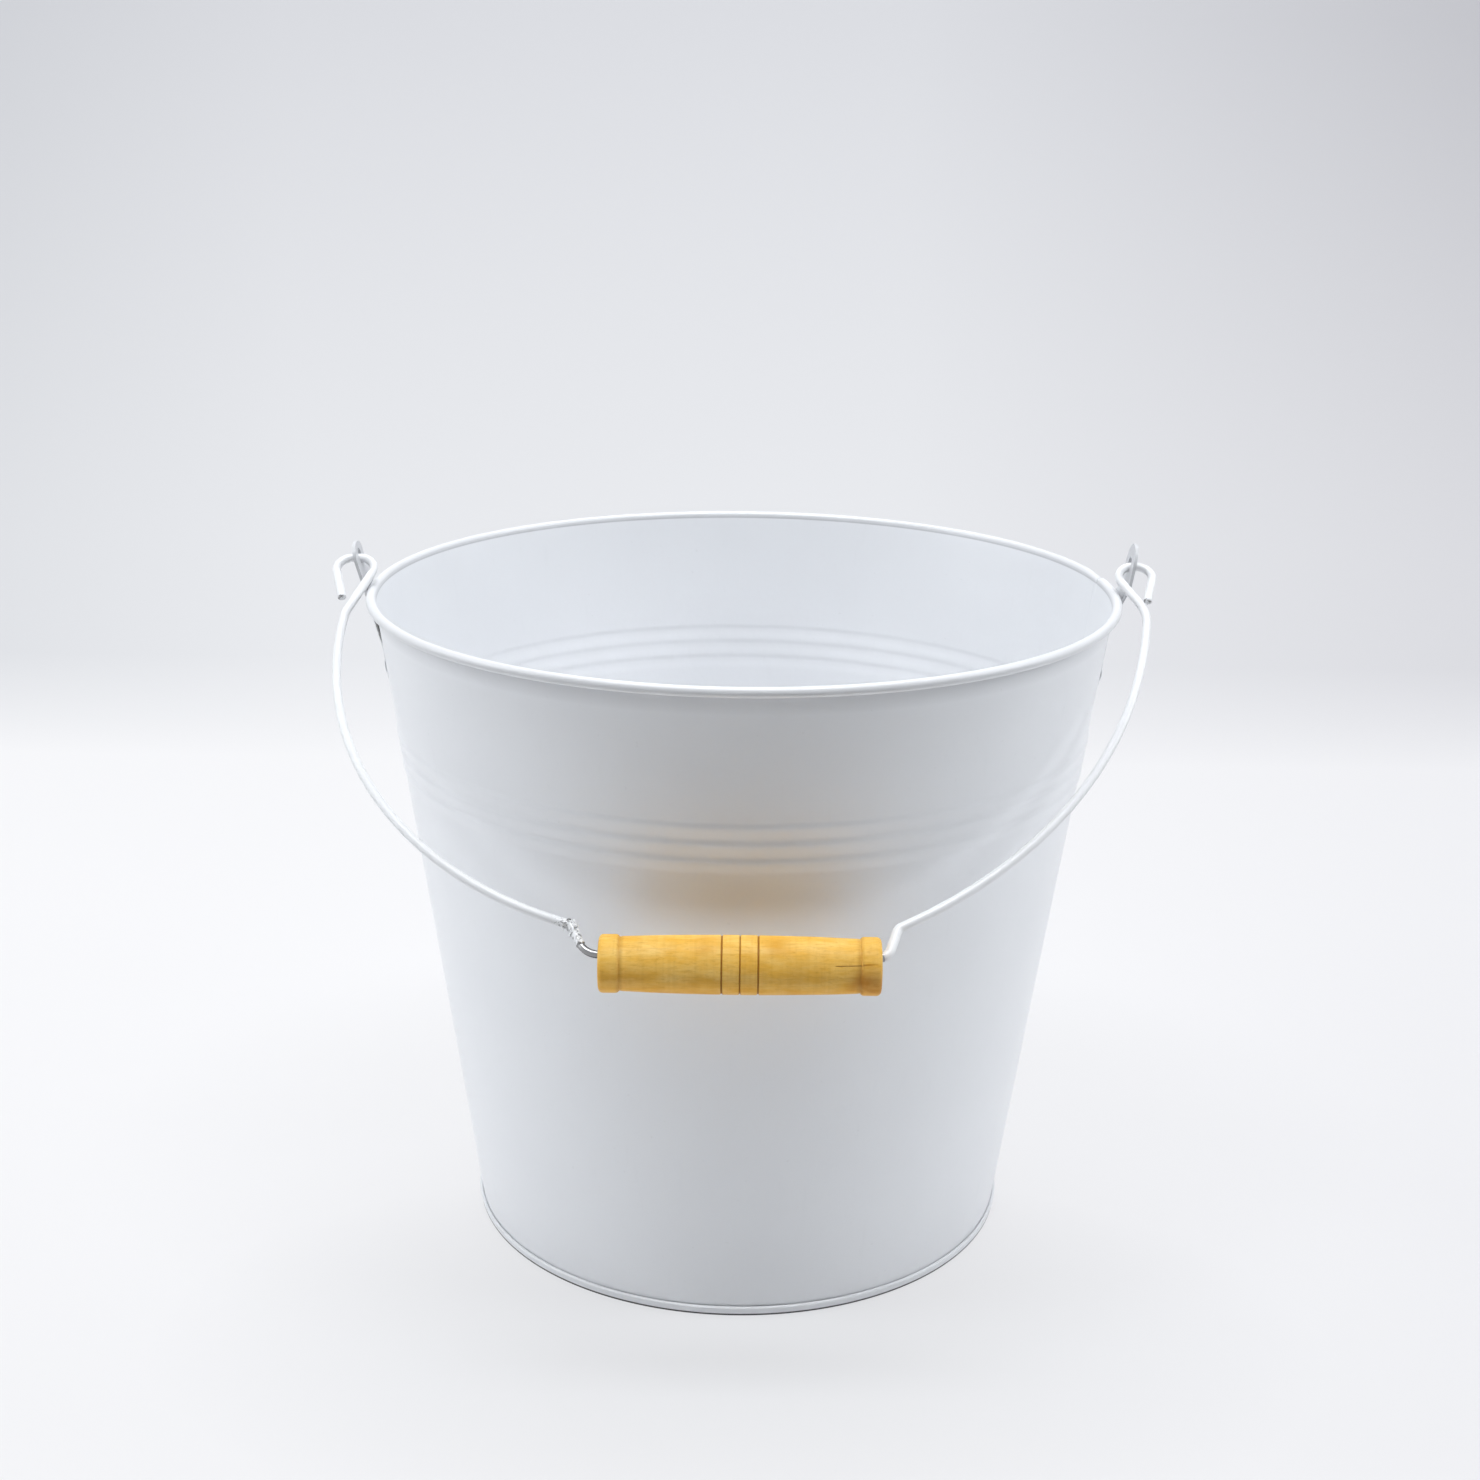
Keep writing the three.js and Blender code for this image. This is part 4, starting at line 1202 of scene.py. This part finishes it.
def varnished_wood():
    """Honey-coloured turned wood, grain along X, stained in patches, dark in its grooves and with painted
    shade beside the collars.
    """
    shader = Shader(bpy.data.materials.new("varnished_wood"))
    place = shader.place()
    fibre = shader.grain(place, (190.0, 1700.0, 1700.0), detail=5.0, roughness=0.7)
    fleck = shader.grain(place, (420.0, 1100.0, 1100.0), roughness=0.65)
    figure = shader.grain(place, (90.0, 260.0, 260.0), detail=4.0, roughness=0.6)
    blotch = shader.grain(place, (70.0, 90.0, 90.0))
    turning = shader.grain(place, (800.0, 60.0, 60.0))
    wood = shader.blend(shader.span(figure, 0.35, 0.65), LIGHT_WOOD, MIDDLE_WOOD)
    wood = shader.blend(shader.span(fibre, 0.48, 0.7, 0.0, 0.32), wood, DARK_WOOD)
    wood = shader.blend(shader.span(fleck, 0.55, 0.72, 0.0, 0.32), wood, DARK_WOOD)
    wood = shader.blend(shader.span(turning, 0.45, 0.75, 0.0, 0.16), wood, DARK_WOOD)
    wood = shader.blend(shader.span(blotch, 0.5, 0.72, 0.0, 0.35), wood, BLOTCHED_WOOD)
    for centre, reach, strength, stain in STAINS:
        ragged = shader.times(shader.spot(place, centre, reach), shader.span(blotch, 0.2, 0.6))
        wood = shader.blend(shader.times(ragged, strength), wood, stain)
    # dark in the grooves and cracks, with painted shade beside the collars
    wood = shader.blend(shader.times(shader.wear_and_shade(), 0.85), wood, GROOVE_AND_SHADE_BROWN)
    shader.set(Base_Color=wood)
    shader.set(Roughness=shader.span(figure, 0.3, 0.7, 0.4, 0.55))
    shader.set(Specular_IOR_Level=0.12, Coat_Weight=0.03, Coat_Roughness=0.25)
    shader.set(Normal=shader.bump(fibre, 0.00015, 0.4))
    return shader.owner


def stage_glow(shader, whole):
    """Stage colour for the camera and mirrors, paler than its lit paper, with painted falloff of light and
    a painted shadow.
    """
    place = shader.node("SeparateXYZ", {"Vector": whole}).outputs
    depth = shader.math("ADD", shader.math("ABSOLUTE", place["Y"]), SHADE_CENTRE)
    bearing = shader.math("DIVIDE", place["X"], depth)
    right = shader.times(shader.span(bearing, *RIGHT_BEARINGS), shader.span(place["Y"], *RIGHT_SHADE_START))
    left = shader.span(bearing, *LEFT_BEARINGS)
    floor = shader.blend(shader.span(place["Y"], *NEAR_FLOOR), NEAR_GLOW, FLOOR_GLOW)
    # painted shadow of the bucket on the floor just in front of it
    floor = shader.blend(shader.spot(whole, *FRONT_SHADOW_SPOT), floor, FRONT_SHADOW_GLOW)
    floor = shader.blend(right, floor, FLOOR_EDGE_SHADE, "MULTIPLY")
    floor = shader.blend(shader.span(shader.length(whole), *FAR_FLOOR), floor, FAR_GLOW)
    height = shader.span(place["Z"], *BACKDROP_HEIGHTS)
    backdrop = shader.blend(height, LOW_BACKDROP_GLOW, HIGH_BACKDROP_GLOW)
    right_shade = shader.blend(height, LOW_RIGHT_SHADE, HIGH_RIGHT_SHADE)
    backdrop = shader.blend(right, backdrop, right_shade, "MULTIPLY")
    backdrop = shader.blend(left, backdrop, LEFT_SHADE, "MULTIPLY")
    return shader.blend(shader.span(place["Y"], *BACKDROP_START), floor, backdrop)


def stage_paper():
    """Matt paper. What the camera and mirrors see of it is lifted, so that its shadows stay pale."""
    shader = Shader(bpy.data.materials.new("stage_paper"))
    shader.set(Base_Color=STAGE_TONE, Roughness=0.9, Specular_IOR_Level=0.1)
    whole = shader.place()
    glowing = shader.node("Emission", {"Color": stage_glow(shader, whole), "Strength": 1.0})
    mix = shader.node("MixShader", {0: shader.times(shader.seen(), STAGE_LIFT)})
    shader.put(mix.inputs[1], shader.main.outputs["BSDF"])
    shader.put(mix.inputs[2], glowing.outputs["Emission"])
    near = shader.times(shader.spot(whole, *NEAR_LIGHT_SPOT), NEAR_LIGHT)
    front = shader.times(shader.spot(whole, *FRONT_LIGHT_SPOT), FRONT_LIGHT)
    bounced = shader.node("LightPath").outputs["Is Diffuse Ray"]
    strength = shader.times(shader.math("ADD", near, front), bounced)
    lit_floor = shader.node("Emission", {"Color": FLOOR_LIGHT_COLOUR, "Strength": strength})
    both = shader.node("AddShader", {0: mix.outputs["Shader"], 1: lit_floor.outputs["Emission"]})
    shader.put(shader.tree.nodes["Material Output"].inputs["Surface"], both.outputs["Shader"])
    return shader.owner


# Stage, lights and camera

def sweep_path():
    """Floor and backdrop from the side: flat, then rising more and more."""
    path = [(SWEEP_FRONT, 0.0), (-1.0, 0.0), (0.0, 0.0), (SWEEP_BEND, 0.0)]
    for i in range(SWEEP_STEPS):
        length = SWEEP_STEP * (i + 1)
        tilt = 0.0
        for degrees, start, end in (FIRST_RISE, SECOND_RISE):
            tilt += math.radians(degrees * smooth_step(start, end, length))
        y, z = path[-1]
        path.append((y + SWEEP_STEP * math.cos(tilt), z + SWEEP_STEP * math.sin(tilt)))
    return path


def make_sweep():
    """Pale floor whose far side sweeps up into the backdrop."""
    path = sweep_path()
    points = []
    for y, z in path:
        for j in range(SWEEP_COLUMNS + 1):
            x = SWEEP_HALF_WIDTH * (2 * j / SWEEP_COLUMNS - 1)
            points.append(Vector((x, y, z)) / MM)
    faces = []
    for i in range(len(path) - 1):
        for j in range(SWEEP_COLUMNS):
            a = i * (SWEEP_COLUMNS + 1) + j
            faces.append((a, a + 1, a + SWEEP_COLUMNS + 2, a + SWEEP_COLUMNS + 1))
    sweep = make_object("paper_sweep", points, faces)
    sweep.data.materials.append(stage_paper())


def add_softbox(name, place, target, size, power):
    lamp = bpy.data.lights.new(name, "AREA")
    lamp.shape = "RECTANGLE"
    lamp.size, lamp.size_y = size
    lamp.energy = power
    lamp.color = LAMP_COLOUR
    item = add_object(name, lamp)
    item.location = place
    item.rotation_euler = (Vector(target) - Vector(place)).to_track_quat("-Z", "Y").to_euler()


def make_surroundings():
    """Pale world that the camera and mirrors see, and that gives no light."""
    shader = Shader(bpy.data.worlds.new("studio"), "Background")
    shader.set(Color=SURROUNDINGS, Strength=shader.seen())
    bpy.context.scene.world = shader.owner


def make_camera():
    pan = CAMERA_PAN
    tilt = CAMERA_TILT
    roll = CAMERA_ROLL
    forward = Vector((math.sin(pan) * math.cos(tilt), math.cos(pan) * math.cos(tilt), -math.sin(tilt)))
    level = Vector((math.cos(pan), -math.sin(pan), 0))
    upright = level.cross(forward)
    right = level * math.cos(roll) + upright * math.sin(roll)
    up = upright * math.cos(roll) - level * math.sin(roll)
    matrix = Matrix((right, up, -forward)).transposed().to_4x4()
    matrix.translation = Vector(CAMERA_PLACE) * MM
    lens = bpy.data.cameras.new("camera")
    lens.sensor_width = SENSOR
    lens.lens = FOCAL_PIXELS / IMAGE_SIZE * SENSOR
    lens.clip_start = 0.01
    camera = add_object("camera", lens)
    camera.matrix_world = matrix
    bpy.context.scene.camera = camera


# All pieces

def joint_place(name):
    found = [joint for joint in frame["joints"] if joint["name"] == name]
    return Vector(found[0]["pos_m"])


def build_bucket():
    # band of painted shade just under the rim roll
    under_rim = (roll_bottom - RIM_SHADE_BELOW, roll_bottom + RIM_SHADE_ABOVE)
    paint = painted_steel("bucket_paint", WHITE, WORN_WHITE, rim_shade_band=under_rim)
    # the inside of the base is darkened as painted shade with some wear
    base_paint = painted_steel("base_paint", WHITE, WORN_WHITE, handled_and_shaded_tone=SHADED_WORN_BASE)
    finish_piece(make_wall(), "bucket", "white_paint", paint, "body_wall")
    finish_piece(make_rim_wire(), "bucket", "rim_steel", drawn_steel(), "rim_wire")
    finish_piece(make_base(), "bucket", "white_paint", base_paint, "base_disc")
    ears = (
        ("right_ear", 0.0, -1, (RIGHT_EAR_CROWN, RIGHT_EAR_OPENING, SHELTERED)),
        # the left ear's leg gets painted shade on its inner side
        ("left_ear", math.pi, 1, (LEFT_EAR_CROWN, LEFT_EAR_OPENING, PAINTED_SHADE)),
    )
    for name, turn, front, shape in ears:
        finish_piece(make_ear(name, turn, *shape), "bucket", "white_paint", paint, name)
        for place, side in (("front", front), ("back", -front)):
            rivet = f"{name}_{place}_rivet"
            finish_piece(make_rivet(rivet, turn, side), "bucket", "white_paint", paint, rivet)


def build_handle():
    # darker copy of the white paint, as painted shade on the wire
    bail_paint = painted_steel("bail_paint", SHADED_BAIL_WHITE, SHADED_WORN_BAIL_WHITE)
    pivot = joint_place("bail_swing")
    grip_place = joint_place("grip_spin")
    hang = grip_place - pivot
    rest = math.atan2(hang.z, -hang.y)
    bail_frame = Matrix.Translation(pivot) @ Matrix.Rotation(-rest, 4, "X")
    grip_frame = Matrix.Translation(grip_place)
    finish_piece(make_bail(bail_frame), "bail", "bail_paint", bail_paint, "bail_wire")
    finish_piece(make_grip(grip_frame), "grip", "grip_wood", varnished_wood(), "grip")


make_camera()
make_surroundings()
for lamp_values in LAMPS:
    add_softbox(*lamp_values)
make_sweep()
build_bucket()
build_handle()
bpy.context.scene.view_settings.view_transform = "Standard"
